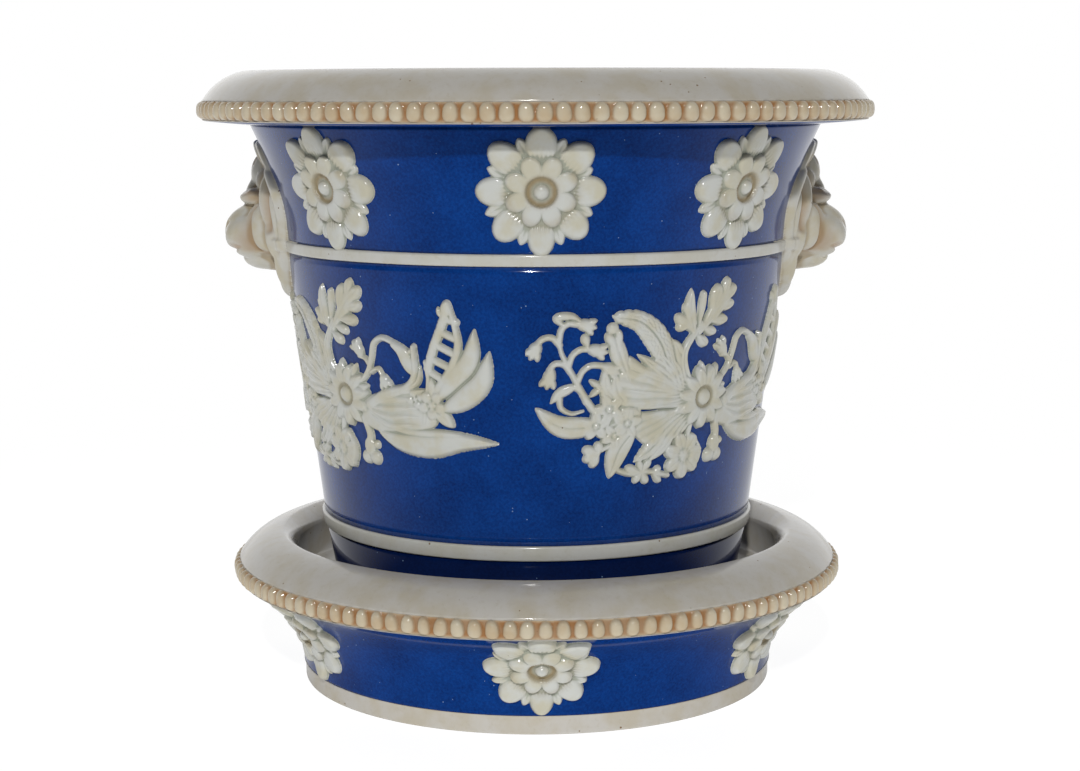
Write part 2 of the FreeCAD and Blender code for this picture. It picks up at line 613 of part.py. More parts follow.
SPRAY_LEAVES = [
    ((-49.6, -1.4), (-32.5, -5.6), 4.6, -2.8),
    ((-38.5, 19.2), (-31.8, 12.8), 2.8, 0.0),
    ((-30.6, 21.3), (-27.8, 9.0), 4.4, 0.5),
    ((-28.8, -20.8), (-22.2, -7.4), 5.4, -1.0),
    ((-22.4, -16.4), (-12.6, -10.0), 5.0, 0.6),
    ((-36.5, -13.2), (-26.8, -10.6), 2.4, 0.0),
    ((-8.4, 31.0), (-6.4, 16.0), 4.0, 0.4),
    ((-12.8, 24.6), (-4.0, 17.6), 4.0, 0.0),
    ((-3.4, 29.4), (-4.6, 18.0), 3.2, 0.0),
    ((-5.6, 17.8), (8.6, 31.2), 6.4, 0.0),
    ((-3.0, 20.6), (8.0, 25.2), 4.6, 0.0),
    ((-6.0, 16.8), (-0.6, 20.0), 3.4, 0.0),
    ((1.8, 24.0), (3.0, 31.6), 5.0, 0.0),
    ((19.0, 16.2), (25.0, 8.4), 4.4, 0.0),
    ((31.2, 8.0), (36.6, 25.8), 4.6, 1.6),
    ((33.0, 1.6), (42.8, 20.2), 5.0, -1.8),
    ((33.0, -1.8), (46.4, 14.0), 6.0, -2.0),
    ((12.0, -9.4), (48.8, -10.6), 6.2, -1.0),
    ((28.0, -1.0), (36.4, -6.8), 3.4, 0.0),
    ((30.0, -2.0), (31.6, 11.4), 3.0, -1.0),
]

SPRAY_DISCS = [
    (-50.0, 16.2, 1.4), (-37.6, 21.4, 1.4), (-46.4, 8.4, 2.0), (-30.2, 9.8, 1.8),
    (-35.4, -14.1, 1.9), (-33.0, -15.6, 1.4), (-32.2, -12.4, 1.8), (-19.2, -18.6, 1.4),
    (-16.0, -20.6, 1.4), (6.2, 12.4, 2.2), (14.3, 5.0, 1.9), (7.4, -13.0, 2.3),
    (5.4, -17.2, 2.2), (8.8, -17.2, 2.2),
]

SPRAY_FANS = [
    [(-5.0, -3.0), (-5.5, 5.0), (-9.5, 9.5), (-15.0, 12.6), (-19.0, 11.0), (-25.2, 13.4),
     (-26.2, 9.2), (-28.0, 7.8), (-27.6, 0.8), (-22.0, -1.8)],
    [(-20.0, -3.2), (-5.0, -3.0), (-4.2, -8.0), (-10.0, -11.4), (-17.0, -12.6),
     (-22.6, -8.4)],
    [(-31.0, -2.0), (-21.0, -1.0), (-21.5, -9.0), (-27.5, -10.6), (-30.5, -8.4)],
    [(5.0, -1.5), (12.0, 0.0), (20.0, 2.6), (30.0, 1.4), (31.5, -7.2), (20.0, -9.6),
     (11.0, -9.8), (6.0, -7.0)],
]

# Flowers: centre, petals, tip of the petals, width of a petal.
SPRAY_FLOWERS = [
    (-32.3, 5.1, 5, 3.2, 1.7),
    (-33.6, -6.6, 5, 4.0, 3.0),
    (29.8, 0.4, 5, 4.0, 3.0),
]

SPRAY_BLOOMS = [
    (0.0, 0.0, 11, 8.6, 3.4),
    (-4.4, -16.0, 6, 6.4, 4.6),
]

# Where petals start and how far an eye reaches, as shares of the distance to the tips.
BLOOM_ROOT = 0.3
BLOOM_EYE = 0.45
FLOWER_ROOT = 0.2
FLOWER_EYE = 0.4
FLOWER_TURN = 18.0


def spray_outline(along_x, bloom):
    """Faces of the spray's low leaves, or of its raised blooms, drawn flat."""
    faces = []
    for x, z, count, tip, width in SPRAY_BLOOMS:
        faces.append(disc(along_x(x, z), z, tip * BLOOM_EYE))
        for angle in ring_of(count):
            faces += petal(along_x(x, z), z, angle, tip * BLOOM_ROOT, tip, width)
    if bloom:
        return faces
    for width, points in SPRAY_STEMS:
        faces.append(stem([(along_x(x, z), z) for x, z in points], width))
    for start, end, width, sway in SPRAY_LEAVES:
        faces.append(leaf((along_x(*start), start[1]), (along_x(*end), end[1]), width, sway))
    for x, z, radius in SPRAY_DISCS:
        faces.append(disc(along_x(x, z), z, radius))
    for points in SPRAY_FANS:
        faces.append(polygon([(along_x(x, z), z) for x, z in points]))
    for x, z, count, tip, width in SPRAY_FLOWERS:
        faces.append(disc(along_x(x, z), z, tip * FLOWER_EYE))
        for angle in ring_of(count, FLOWER_TURN):
            faces += petal(along_x(x, z), z, angle, tip * FLOWER_ROOT, tip, width)
    return faces


def make_sprays():
    low = (size(wall_radius(MAIN_LOW)), size(MAIN_LOW))
    high = (size(wall_radius(MAIN_HIGH)), size(MAIN_HIGH))
    slope = (high[0] - low[0]) / (high[1] - low[1])
    centre = size("sizes.spray_centre_height")
    middle_radius = low[0] + slope * centre

    def along_x(x, z):
        """Sideways place, seen from outside, of a point that lies x along the wall."""
        return (low[0] + slope * (centre + z)) * math.sin(x / middle_radius)

    reach = size("sizes.rim_reach")
    leaves = pushed_in(spray_outline(along_x, False), reach, reach)
    blooms = pushed_in(spray_outline(along_x, True), reach, reach)
    lift = FreeCAD.Vector(0, 0, low[1] + centre)
    leaves.translate(lift)
    blooms.translate(lift)
    leaves = leaves.common(relief_shell(low, high, size("sizes.spray_relief")))
    blooms = blooms.common(relief_shell(low, high, size("sizes.bloom_relief")))
    shape = leaves.fuse(blooms)
    first = size("sizes.spray_first_azimuth")
    places = [("front_right", 0), ("back_right", 90), ("back_left", 180), ("front_left", 270)]
    return [feature("flower_spray_" + name, shape.copy(), first + azimuth,
                    size(POT_STANDS_AT)) for name, azimuth in places]


# ---------------------------------------------------------------- lion masks

# Rounds that make up a mask: name, out from the wall, sideways, up from the mask's
# middle, and the sheet name of its radius. A sideways round is made on both sides.
MASK_ROUNDS = [
    ("face", 0.0, 0.0, 3.0, "mask_face_radius"),
    ("brow", 7.5, 5.5, 9.0, "mask_brow_radius"),
    ("tuft", 5.5, 0.0, 17.5, "mask_tuft_radius"),
    ("cheek", 6.5, 8.0, -7.0, "mask_cheek_radius"),
    ("chin", 6.5, 0.0, -12.5, "mask_chin_radius"),
    ("ear", 3.5, 13.0, 11.0, "mask_ear_radius"),
    ("lock", 1.5, 14.0, 1.0, "mask_lock_radius"),
    ("low_lock", 1.0, 12.5, -8.0, "mask_lock_radius"),
]
MUZZLE_DROP = 4.0
BEARD_TOP_DROP = 13.5
BEARD_TIP_RADIUS = 1.2
SEAM_TURN = 90.0


def make_mask_seat():
    """What a mask's back lies on: the wall with its fillet and the flaring neck.

    It is turned so that the seam of its faces is at the back, clear of both masks.
    """
    hollow = size("sizes.wall_low_radius") / 2
    relief = size("sizes.fillet_relief")
    low = (size(wall_radius(MAIN_LOW)), size(MAIN_LOW))
    fillet = (size(wall_radius(MAIN_HIGH)), size(MAIN_HIGH))
    high = (size("sizes.wall_high_radius"), size(NECK_LOW))
    neck = (size("sizes.neck_radius"), size(NECK_HIGH))
    return feature("mask_seat", turned_shape([
        (hollow, low[1]),
        low,
        fillet,
        (fillet[0] + relief, fillet[1]),
        (high[0] + relief, high[1]),
        high + (size("sizes.neck_curve"),),
        neck,
        (hollow, neck[1]),
    ]), SEAM_TURN)


def mask_round(name, radius, out, sideways, up):
    """One ball of a mask, placed by sheet expressions from the pot's axis and foot."""
    ball = doc.addObject("Part::Sphere", name)
    ball.setExpression("Radius", radius)
    ball.setExpression("Placement.Base.x", out)
    ball.setExpression("Placement.Base.y", str(sideways))
    ball.setExpression("Placement.Base.z", up)
    return ball


def lion_mask(side, sign, seat):
    """A lion mask on the neck, its muzzle outermost and its beard over the fillet."""
    middle = f"({NECK_LOW} + sizes.mask_centre_height)"
    wall = "sizes.wall_high_radius"
    rounds = []
    for name, out, sideways, up, radius in MASK_ROUNDS:
        for hand in ((1, -1) if sideways else (1,)):
            rounds.append(mask_round(f"{name}_{side}_{len(rounds)}", f"sizes.{radius}",
                                     f"{sign} * ({wall} + {out})", hand * sideways,
                                     f"{middle} + {up}"))
    muzzle = "sizes.mask_muzzle_radius"
    rounds.append(mask_round(f"muzzle_{side}", muzzle,
                             f"{sign} * (sizes.mask_muzzle_reach - {muzzle})", 0,
                             f"{middle} - {MUZZLE_DROP}"))
    beard = doc.addObject("Part::Cone", f"beard_{side}")
    beard.Radius1 = BEARD_TIP_RADIUS
    beard.setExpression("Radius2", "sizes.mask_chin_radius")
    beard.setExpression("Height", "sizes.mask_beard_length")
    beard.setExpression("Placement.Base.x", f"{sign} * {wall}")
    beard.setExpression("Placement.Base.z",
                        f"{middle} - {BEARD_TOP_DROP} - sizes.mask_beard_length")
    head = doc.addObject("Part::MultiFuse", f"head_{side}")
    head.Shapes = rounds + [beard]
    mask = doc.addObject("Part::Cut", f"lion_mask_{side}")
    mask.Base = head
    mask.Tool = seat
    mask.setExpression("Placement.Base.z", POT_STANDS_AT)
    return mask


def make_masks():
    seat = make_mask_seat()
    return [lion_mask("right", 1, seat), lion_mask("left", -1, seat)]


# ---------------------------------------------------------------- the whole object

def check(pieces):
    """Stop before anything is written if a feature failed or a piece is not sound."""
    doc.recompute()
    failed = [thing.Name for thing in doc.Objects
              if "Invalid" in thing.State or "Error" in thing.State]
    if failed:
        raise RuntimeError(f"failed features: {failed}")
    for piece in pieces:
        if piece.Shape.isNull() or not piece.Shape.isValid():
            raise RuntimeError(f"unsound piece: {piece.Label}")
        print(piece.Label, len(piece.Shape.Solids), round(piece.Shape.Volume, 1))


def write(pieces):
    os.makedirs("parts", exist_ok=True)
    for piece in pieces:
        piece.Shape.exportStep(f"parts/{piece.Label}.step")


PIECES = [make_stand_body(), make_pot_body()]
PIECES += make_grounds_and_fillets()
PIECES += make_bead_rows()
PIECES += make_stand_rosettes()
PIECES += make_pot_rosettes()
PIECES += make_sprays()
PIECES += make_masks()
check(PIECES)
write(PIECES)
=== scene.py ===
import math

import bpy
import numpy as np
from mathutils import Matrix, Vector

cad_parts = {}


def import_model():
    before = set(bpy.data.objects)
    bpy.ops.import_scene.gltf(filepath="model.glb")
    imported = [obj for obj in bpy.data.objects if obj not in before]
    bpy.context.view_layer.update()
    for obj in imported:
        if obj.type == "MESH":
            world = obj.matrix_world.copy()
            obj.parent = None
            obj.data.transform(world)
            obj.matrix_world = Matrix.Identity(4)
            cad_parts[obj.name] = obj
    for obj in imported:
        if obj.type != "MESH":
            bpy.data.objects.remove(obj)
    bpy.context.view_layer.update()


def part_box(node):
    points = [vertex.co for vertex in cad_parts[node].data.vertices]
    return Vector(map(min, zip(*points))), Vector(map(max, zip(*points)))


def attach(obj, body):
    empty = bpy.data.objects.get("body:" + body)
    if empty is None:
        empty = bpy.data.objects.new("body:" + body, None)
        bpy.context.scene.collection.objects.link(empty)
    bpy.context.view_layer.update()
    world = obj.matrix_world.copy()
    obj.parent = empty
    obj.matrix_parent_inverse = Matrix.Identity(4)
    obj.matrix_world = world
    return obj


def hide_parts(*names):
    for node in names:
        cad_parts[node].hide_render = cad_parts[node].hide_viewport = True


# A blue ground flower pot with white moulded sprigs, loose in its drip stand.
# Lengths are in millimetres up to the point where a mesh is made, and in metres there.
# The lamp and the half width of the floor are given in metres.
# Azimuth 0 is the front (-Y) and turns towards +X.

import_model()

MM = 0.001
TAU = 2 * math.pi


# ---------------------------------------------------------------- places from the frame

def levels(node):
    """Lowest and highest point of a CAD node, in millimetres."""
    low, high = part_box(node)
    return low.z / MM, high.z / MM


def reach(node):
    """Largest distance of a CAD node from the axis, in millimetres, along +X."""
    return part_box(node)[1].x / MM


SLIP = 0.35
FILLET_RELIEF = 0.9
LIP_HEIGHT = 0.4
BEAD_RADIUS = 1.8
BEAD_BACKING = 1.0
HEEL_R = 57.6
NECK_CURVE = 96.0
COVE_CURVE = 30.0
POT_WALL = 5.0

POT_FOOT_Z, POT_CREST_Z = levels("pot_body")
HEEL_Z, LOWER_FILLET_Z = levels("lower_white_fillet")
MAIN_LOW_Z, MAIN_HIGH_Z = levels("pot_blue_ground_main")
NECK_LOW_Z, NECK_HIGH_Z = levels("pot_blue_ground_neck")
POT_SEAT_LOW, POT_SEAT_HIGH = levels("pot_bead_row")
COVE_LOW_Z, COVE_HIGH_Z = levels("stand_blue_ground")
STAND_SEAT_LOW, STAND_SEAT_HIGH = levels("stand_bead_row")
STAND_CREST_Z = levels("stand_body")[1]
BARE_FOOT_Z = levels("pot_blue_ground_foot")[0]

WALL_LOW_R = reach("pot_blue_ground_foot")
NECK_LOW_R = reach("upper_white_fillet") - FILLET_RELIEF
NECK_HIGH_R = reach("pot_blue_ground_neck")
POT_LIP_R = reach("pot_body")
POT_RIM_R = reach("pot_bead_row")
COVE_HIGH_R = reach("stand_blue_ground")
COVE_LOW_R = 71.2
STAND_LIP_R = reach("stand_body")
STAND_RIM_R = reach("stand_bead_row")
WALL_SLOPE = (NECK_LOW_R - WALL_LOW_R) / (NECK_LOW_Z - HEEL_Z)


def wall_r(z):
    """Radius of the conical blue wall at a height."""
    return WALL_LOW_R + (z - HEEL_Z) * WALL_SLOPE


# ---------------------------------------------------------------- sections

def arc(start, end, radius, side, count=24):
    """Points from start to end on a circle; side 1 bulges to the left of the way."""
    start = np.array(start, float)
    end = np.array(end, float)
    chord = end - start
    length = np.hypot(*chord)
    left = np.array([-chord[1], chord[0]]) / length
    centre = (start + end) / 2 - left * side * math.sqrt(radius ** 2 - (length / 2) ** 2)
    first = math.atan2(*(start - centre)[::-1])
    turn = 2 * math.asin(length / 2 / radius)
    angles = first - side * np.linspace(0, turn, count)
    return [tuple(centre + radius * np.array([math.cos(a), math.sin(a)])) for a in angles]


def rounded(corners, count=5):
    """A section with its corners rounded: (radius, height) or (radius, height, round)."""
    points = []
    for i, corner in enumerate(corners):
        here = np.array(corner[:2], float)
        if len(corner) == 2:
            points.append(tuple(here))
            continue
        before = np.array(corners[i - 1][:2], float)
        after = np.array(corners[(i + 1) % len(corners)][:2], float)
        back = before - here
        ahead = after - here
        back /= np.hypot(*back)
        ahead /= np.hypot(*ahead)
        half = math.acos(np.clip(back @ ahead, -1, 1)) / 2
        cut = corner[2] / math.tan(half)
        middle = (back + ahead) / np.hypot(*(back + ahead))
        centre = here + middle * corner[2] / math.sin(half)
        first = here + back * cut - centre
        last = here + ahead * cut - centre
        for k in range(count):
            blend = first * (1 - k / (count - 1)) + last * k / (count - 1)
            points.append(tuple(centre + blend / np.hypot(*blend) * corner[2]))
    return points


# ---------------------------------------------------------------- meshes

def new_object(name, points_mm, faces):
    mesh = bpy.data.meshes.new(name)
    mesh.vertices.add(len(points_mm))
    mesh.vertices.foreach_set("co", (np.asarray(points_mm, np.float32) * MM).ravel())
    faces = np.asarray(faces, np.int32)
    mesh.loops.add(faces.size)
    mesh.loops.foreach_set("vertex_index", faces.ravel())
    mesh.polygons.add(len(faces))
    mesh.polygons.foreach_set("loop_start", np.arange(0, faces.size, faces.shape[1]))
    mesh.polygons.foreach_set("use_smooth", [True] * len(faces))
    mesh.update(calc_edges=True)
    mesh.validate()
    thing = bpy.data.objects.new(name, mesh)
    bpy.context.scene.collection.objects.link(thing)
    return thing


def dress(thing, material, body, slot, *nodes):
    """Finish a piece: its material, what it moves with, and which CAD nodes it stands for."""
    thing.data.materials.append(material)
    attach(thing, body)
    if nodes:
        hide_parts(*nodes)
    return thing


def grid_faces(rows, columns, wrap_rows, wrap_columns):
    r = np.arange(rows if wrap_rows else rows - 1)[:, None]
    c = np.arange(columns if wrap_columns else columns - 1)[None, :]
    a = r * columns + c
    b = r * columns + (c + 1) % columns
    d = (r + 1) % rows * columns + c
    e = (r + 1) % rows * columns + (c + 1) % columns
    return np.stack([a, b, e, d], -1).reshape(-1, 4)


SEGMENTS = 384


def lathe(name, section, wander=0.0, seed=0):
    """A ring turned about Z from a closed section that runs anticlockwise.

    wander is how far, in millimetres, the hand lets heights drift round the ring.
    """
    section = np.array(section, float)
    angles = np.arange(SEGMENTS) * TAU / SEGMENTS
    drift = np.zeros(SEGMENTS)
    rng = np.random.default_rng(seed)
    for waves in (2, 3, 5, 8, 13):
        drift += np.sin(waves * angles + rng.uniform(0, TAU)) / waves
    radius = section[:, 0][:, None] * np.ones(SEGMENTS)
    height = section[:, 1][:, None] + wander * drift
    points = np.stack([radius * np.sin(angles), -radius * np.cos(angles), height], -1)
    faces = grid_faces(len(section), SEGMENTS, True, True)
    return new_object(name, points.reshape(-1, 3), faces)


# ---------------------------------------------------------------- materials

class Shading:
    """A small helper that puts shader nodes together, with coordinates in millimetres."""

    def __init__(self, name):
        self.material = bpy.data.materials.new(name)
        self.material.use_nodes = True
        self.tree = self.material.node_tree
        self.shader = self.tree.nodes["Principled BSDF"]
        place = self.tree.nodes.new("ShaderNodeTexCoord").outputs["Object"]
        scale = self.tree.nodes.new("ShaderNodeVectorMath")
        scale.operation = "SCALE"
        self.tree.links.new(place, scale.inputs[0])
        scale.inputs["Scale"].default_value = 1 / MM
        self.place = scale.outputs[0]

    def put(self, value, socket):
        if isinstance(value, bpy.types.NodeSocket):
            self.tree.links.new(value, socket)
        elif isinstance(value, tuple):
            socket.default_value = (*value, 1)
        else:
            socket.default_value = value

    def noise(self, size, detail=3.0, roughness=0.55):
        node = self.tree.nodes.new("ShaderNodeTexNoise")
        self.put(self.place, node.inputs["Vector"])
        node.inputs["Scale"].default_value = 1 / size
        node.inputs["Detail"].default_value = detail
        node.inputs["Roughness"].default_value = roughness
        return node.outputs["Fac"]

    def step(self, value, low, high):
        """0 below low and 1 above high, or the other way round if low is the larger."""
        node = self.tree.nodes.new("ShaderNodeMapRange")
        node.interpolation_type = "SMOOTHSTEP"
        self.put(value, node.inputs["Value"])
        node.inputs["From Min"].default_value = min(low, high)
        node.inputs["From Max"].default_value = max(low, high)
        node.inputs["To Min"].default_value = 0.0 if low < high else 1.0
        node.inputs["To Max"].default_value = 1.0 if low < high else 0.0
        return node.outputs["Result"]

    def math(self, operation, one, other):
        node = self.tree.nodes.new("ShaderNodeMath")
        node.operation = operation
        self.put(one, node.inputs[0])
        self.put(other, node.inputs[1])
        return node.outputs[0]

    def mix(self, share, one, other):
        node = self.tree.nodes.new("ShaderNodeMix")
        node.data_type = "RGBA"
        self.put(share, node.inputs["Factor"])
        self.put(one, node.inputs["A"])
        self.put(other, node.inputs["B"])
        return node.outputs["Result"]

    def specks(self, spacing, size, share):
        """Dots of about a size, scattered so that only a share of the cells has one."""
        cells = self.tree.nodes.new("ShaderNodeTexVoronoi")
        self.put(self.place, cells.inputs["Vector"])
        cells.inputs["Scale"].default_value = 1 / spacing
        tone = self.tree.nodes.new("ShaderNodeSeparateColor")
        self.put(cells.outputs["Color"], tone.inputs[0])
        reach = self.math("MULTIPLY", tone.outputs["Green"], size / spacing)
        inside = self.math("LESS_THAN", cells.outputs["Distance"], reach)
        chosen = self.math("LESS_THAN", tone.outputs["Red"], share)
        return self.math("MULTIPLY", inside, chosen)

    def attribute(self, name):
        node = self.tree.nodes.new("ShaderNodeAttribute")
        node.attribute_name = name
        return node.outputs["Fac"]

    def finish(self, colour, roughness, wave_size, wave_depth):
        """The glaze: its colour, how rough it is, and how much its skin waves, in mm."""
        self.put(colour, self.shader.inputs["Base Color"])
        self.put(roughness, self.shader.inputs["Roughness"])
        bump = self.tree.nodes.new("ShaderNodeBump")
        bump.inputs["Strength"].default_value = 1.0
        bump.inputs["Distance"].default_value = wave_depth * MM
        self.put(self.noise(wave_size, 2.0), bump.inputs["Height"])
        self.put(bump.outputs[0], self.shader.inputs["Normal"])
        return self.material


def blue_slip(name, deep, bright):
    """Cobalt slip under clear glaze: grainy, drifting in depth, with pale pinholes."""
    look = Shading(name)
    drift = look.step(look.noise(16.0, 2.0), 0.3, 0.7)
    grain = look.step(look.noise(0.75, 4.0, 0.7), 0.32, 0.68)
    share = look.math("ADD", look.math("MULTIPLY", drift, 0.4),
                      look.math("MULTIPLY", grain, 0.6))
    colour = look.mix(share, deep, bright)
    colour = look.mix(look.specks(1.3, 0.2, 0.1), colour, (0.16, 0.26, 0.42))
    return look.finish(colour, 0.09, 5.0, 0.012)


def cream_glaze(name, light, warm):
    """Cream clay under glaze: warm drifts, fine brown specks and a few darker spots."""
    look = Shading(name)
    drift = look.step(look.noise(11.0, 4.0), 0.36, 0.66)
    colour = look.mix(drift, light, warm)
    mottle = look.step(look.noise(1.6, 4.0, 0.7), 0.5, 0.8)
    colour = look.mix(look.math("MULTIPLY", mottle, 0.3), colour, (0.36, 0.30, 0.20))
    colour = look.mix(look.specks(2.3, 0.34, 0.16), colour, (0.20, 0.13, 0.07))
    return look, colour


def sprig_glaze(name, light, hollow, stain):
    """White sprig clay: glaze pools grey-green in hollows and stains brown in some."""
    look = Shading(name)
    drift = look.step(look.noise(7.0, 3.0), 0.35, 0.7)
    warm = (light[0] * 0.93, light[1] * 0.87, light[2] * 0.72)
    colour = look.mix(drift, light, warm)
    pool = look.step(look.attribute("cavity"), 0.04, 0.42)
    colour = look.mix(look.math("MULTIPLY", pool, 0.8), colour, hollow)
    colour = look.mix(look.attribute("stain"), colour, stain)
    colour = look.mix(look.specks(3.1, 0.3, 0.1), colour, (0.14, 0.09, 0.05))
    return look.finish(colour, 0.16, 2.2, 0.010)


def bead_glaze():
    """Tan beads: pale where they stand out, rust brown where glaze lies between them."""
    look = Shading("tan_beads")
    drift = look.step(look.noise(9.0, 3.0), 0.3, 0.7)
    colour = look.mix(drift, (0.55, 0.49, 0.37), (0.48, 0.38, 0.25))
    gap = look.attribute("gap")
    rust = look.mix(look.step(look.noise(6.0, 2.0), 0.4, 0.62),
                    (0.36, 0.23, 0.13), (0.33, 0.165, 0.065))
    colour = look.mix(gap, colour, rust)
    colour = look.mix(look.specks(2.6, 0.3, 0.1), colour, (0.13, 0.08, 0.05))
    return look.finish(colour, 0.12, 2.0, 0.010)


def body_glaze():
    look, colour = cream_glaze("cream_body", (0.51, 0.49, 0.45), (0.47, 0.43, 0.35))
    return look.finish(colour, 0.13, 7.0, 0.020)


def fillet_glaze():
    look, colour = cream_glaze("cream_fillet", (0.52, 0.52, 0.49), (0.49, 0.48, 0.42))
    return look.finish(colour, 0.14, 4.0, 0.012)


CREAM = body_glaze()
FILLET = fillet_glaze()
BLUE = blue_slip("cobalt_blue", (0.0009, 0.018, 0.112), (0.0022, 0.044, 0.235))
WHITE = sprig_glaze("white_sprig", (0.53, 0.54, 0.51), (0.31, 0.33, 0.27),
                    (0.27, 0.20, 0.10))
WARM = sprig_glaze("warm_sprig", (0.53, 0.52, 0.47), (0.34, 0.27, 0.17), (0.32, 0.19, 0.09))
# A darker copy of the cobalt slip for the pot's foot band: painted shade, standing in for the
# stand's rim keeping light off the foot.
PAINTED_SHADE_BLUE = blue_slip("cobalt_blue_foot_painted_shade", (0.0007, 0.006, 0.040), (0.0010, 0.011, 0.070))
TAN = bead_glaze()


# ---------------------------------------------------------------- turned pieces

def cove_line(count=40):
    """The stand's blue cove from its foot band to the lip, hollow to the outside."""
    return arc((COVE_LOW_R, COVE_LOW_Z), (COVE_HIGH_R, COVE_HIGH_Z), COVE_CURVE, 1, count)


def neck_line(count=40):
    """The pot's flaring neck from the upper fillet to the rim's underside."""
    return arc((NECK_LOW_R, NECK_LOW_Z), (NECK_HIGH_R, NECK_HIGH_Z), NECK_CURVE, 1, count)


def inset(points, step):
    return [(r - step, z) for r, z in points]


def slip_ring(name, line, thickness, body, material, node):
    """A slip ground that follows a wall line and goes a little way into the clay."""
    ring = lathe(name, line + inset(line, thickness)[::-1])
    dress(ring, material, body, "cobalt_blue_slip", node)


def stand_clay():
    """The stand's body, from its foot up the outside, over the rim and down the well."""
    foot_in = 62.3
    foot_r = 70.8
    floor_r = 63.0
    seat_z = 9.0
    recess = 3.0
    mouth_drop = 5.2
    shoulder_curve = 17.0
    roll_curve = 6.0
    well_curve = 26.0
    bead_back = STAND_RIM_R - BEAD_RADIUS - BEAD_BACKING
    shoulder = (STAND_RIM_R - BEAD_RADIUS, STAND_SEAT_HIGH)
    crest = (77.0, STAND_CREST_Z)
    mouth = (73.0, STAND_CREST_Z - mouth_drop)
    well = (75.4, 29.6)
    section = [(0.0, recess)]
    section += rounded([(foot_in, recess, 1.0), (foot_in, 0.0, 0.8), (foot_r, 0.0, 0.9),
                        (foot_r, COVE_LOW_Z, 0.5), (COVE_LOW_R - SLIP, COVE_LOW_Z)])
    section += inset(cove_line(), SLIP)
    section += rounded([(STAND_LIP_R - 0.4, COVE_HIGH_Z), (STAND_LIP_R, COVE_HIGH_Z, 0.25),
                        (STAND_LIP_R, STAND_SEAT_LOW, 0.25), (bead_back, STAND_SEAT_LOW),
                        (bead_back, STAND_SEAT_HIGH)])[1:]
    section += arc(shoulder, crest, shoulder_curve, -1)
    section += arc(crest, mouth, roll_curve, -1)[1:]
    section += arc(well, (floor_r, seat_z), well_curve, -1)
    section += [(0.0, seat_z)]
    dress(lathe("stand_clay", section), CREAM, "stand", "cream_glazed_body", "stand_body")


def pot_clay():
    """The pot's body, from its drain hole up the outside, over the rim and down inside."""
    foot_in = 48.0
    foot_r = 56.0
    drain = 7.0
    recess = 1.6
    floor = 6.0
    roll_drop = 6.5
    shoulder_curve = 18.0
    roll_curve = 6.6
    recess_z = POT_FOOT_Z + recess
    floor_z = recess_z + floor
    bead_back = POT_RIM_R - BEAD_RADIUS - BEAD_BACKING
    shoulder = (POT_RIM_R - BEAD_RADIUS, POT_SEAT_HIGH)
    crest = (86.0, POT_CREST_Z)
    roll = (81.0, POT_CREST_Z - roll_drop)
    inner_neck = inset(neck_line(), POT_WALL)[::-1]
    section = rounded([(drain, recess_z, 0.6), (foot_in, recess_z, 0.8), (foot_in, POT_FOOT_Z, 0.6),
                       (foot_r, POT_FOOT_Z, 0.6), (HEEL_R, BARE_FOOT_Z, 0.2),
                       (WALL_LOW_R - SLIP, HEEL_Z)])
    section += inset(neck_line(), SLIP)
    section += rounded([(NECK_HIGH_R, NECK_HIGH_Z), (POT_LIP_R, POT_SEAT_LOW - LIP_HEIGHT, 0.25),
                        (POT_LIP_R, POT_SEAT_LOW, 0.25), (bead_back, POT_SEAT_LOW),
                        (bead_back, POT_SEAT_HIGH)])[1:]
    section += arc(shoulder, crest, shoulder_curve, -1)
    section += arc(crest, roll, roll_curve, -1)[1:]
    section += inner_neck
    section += rounded([(WALL_LOW_R - POT_WALL, HEEL_Z), (HEEL_R - POT_WALL, floor_z, 3.0),
                        (drain, floor_z, 0.8)])
    dress(lathe("pot_clay", section), CREAM, "pot", "cream_glazed_body", "pot_body")


def grounds_and_fillets():
    """The blue slip, in bands, and the two raised white fillets between them."""
    deep = 1.2
    lap = 0.2
    slip_ring("stand_ground", cove_line(), SLIP, "stand", BLUE, "stand_blue_ground")
    foot_line = [(HEEL_R, BARE_FOOT_Z), (WALL_LOW_R, HEEL_Z + lap)]
    # The foot band takes the darker copy of the slip, which is painted shade.
    slip_ring("pot_ground_foot", foot_line, deep, "pot", PAINTED_SHADE_BLUE, "pot_blue_ground_foot")
    main_line = [(wall_r(z), z) for z in np.linspace(MAIN_LOW_Z - lap, MAIN_HIGH_Z + lap, 30)]
    slip_ring("pot_ground_main", main_line, deep, "pot", BLUE, "pot_blue_ground_main")
    slip_ring("pot_ground_neck", neck_line(), deep, "pot", BLUE, "pot_blue_ground_neck")
    lip_z = POT_SEAT_LOW - LIP_HEIGHT
    under = [(NECK_HIGH_R - 0.6, NECK_HIGH_Z - 0.12), (POT_LIP_R - 0.5, lip_z - 0.1),
             (POT_LIP_R - 0.5, lip_z + 0.3), (NECK_HIGH_R - 0.6, NECK_HIGH_Z + 0.3)]
    dress(lathe("pot_ground_under_rim", under), BLUE, "pot", "cobalt_blue_slip")
    for name, low, high, seed in (("lower", HEEL_Z, LOWER_FILLET_Z, 1),
                                  ("upper", MAIN_HIGH_Z, NECK_LOW_Z, 2)):
        line = rounded([(wall_r(low) - deep, low), (wall_r(low) + FILLET_RELIEF, low, 0.6),
                        (wall_r(high) + FILLET_RELIEF, high, 0.6), (wall_r(high) - deep, high)])
        ring = lathe(name + "_fillet", line, 0.06, seed)
        dress(ring, FILLET, "pot", "cream_glazed_body", name + "_white_fillet")


stand_clay()
pot_clay()
grounds_and_fillets()


# ---------------------------------------------------------------- bead rows

BEAD_SHY = 0.04


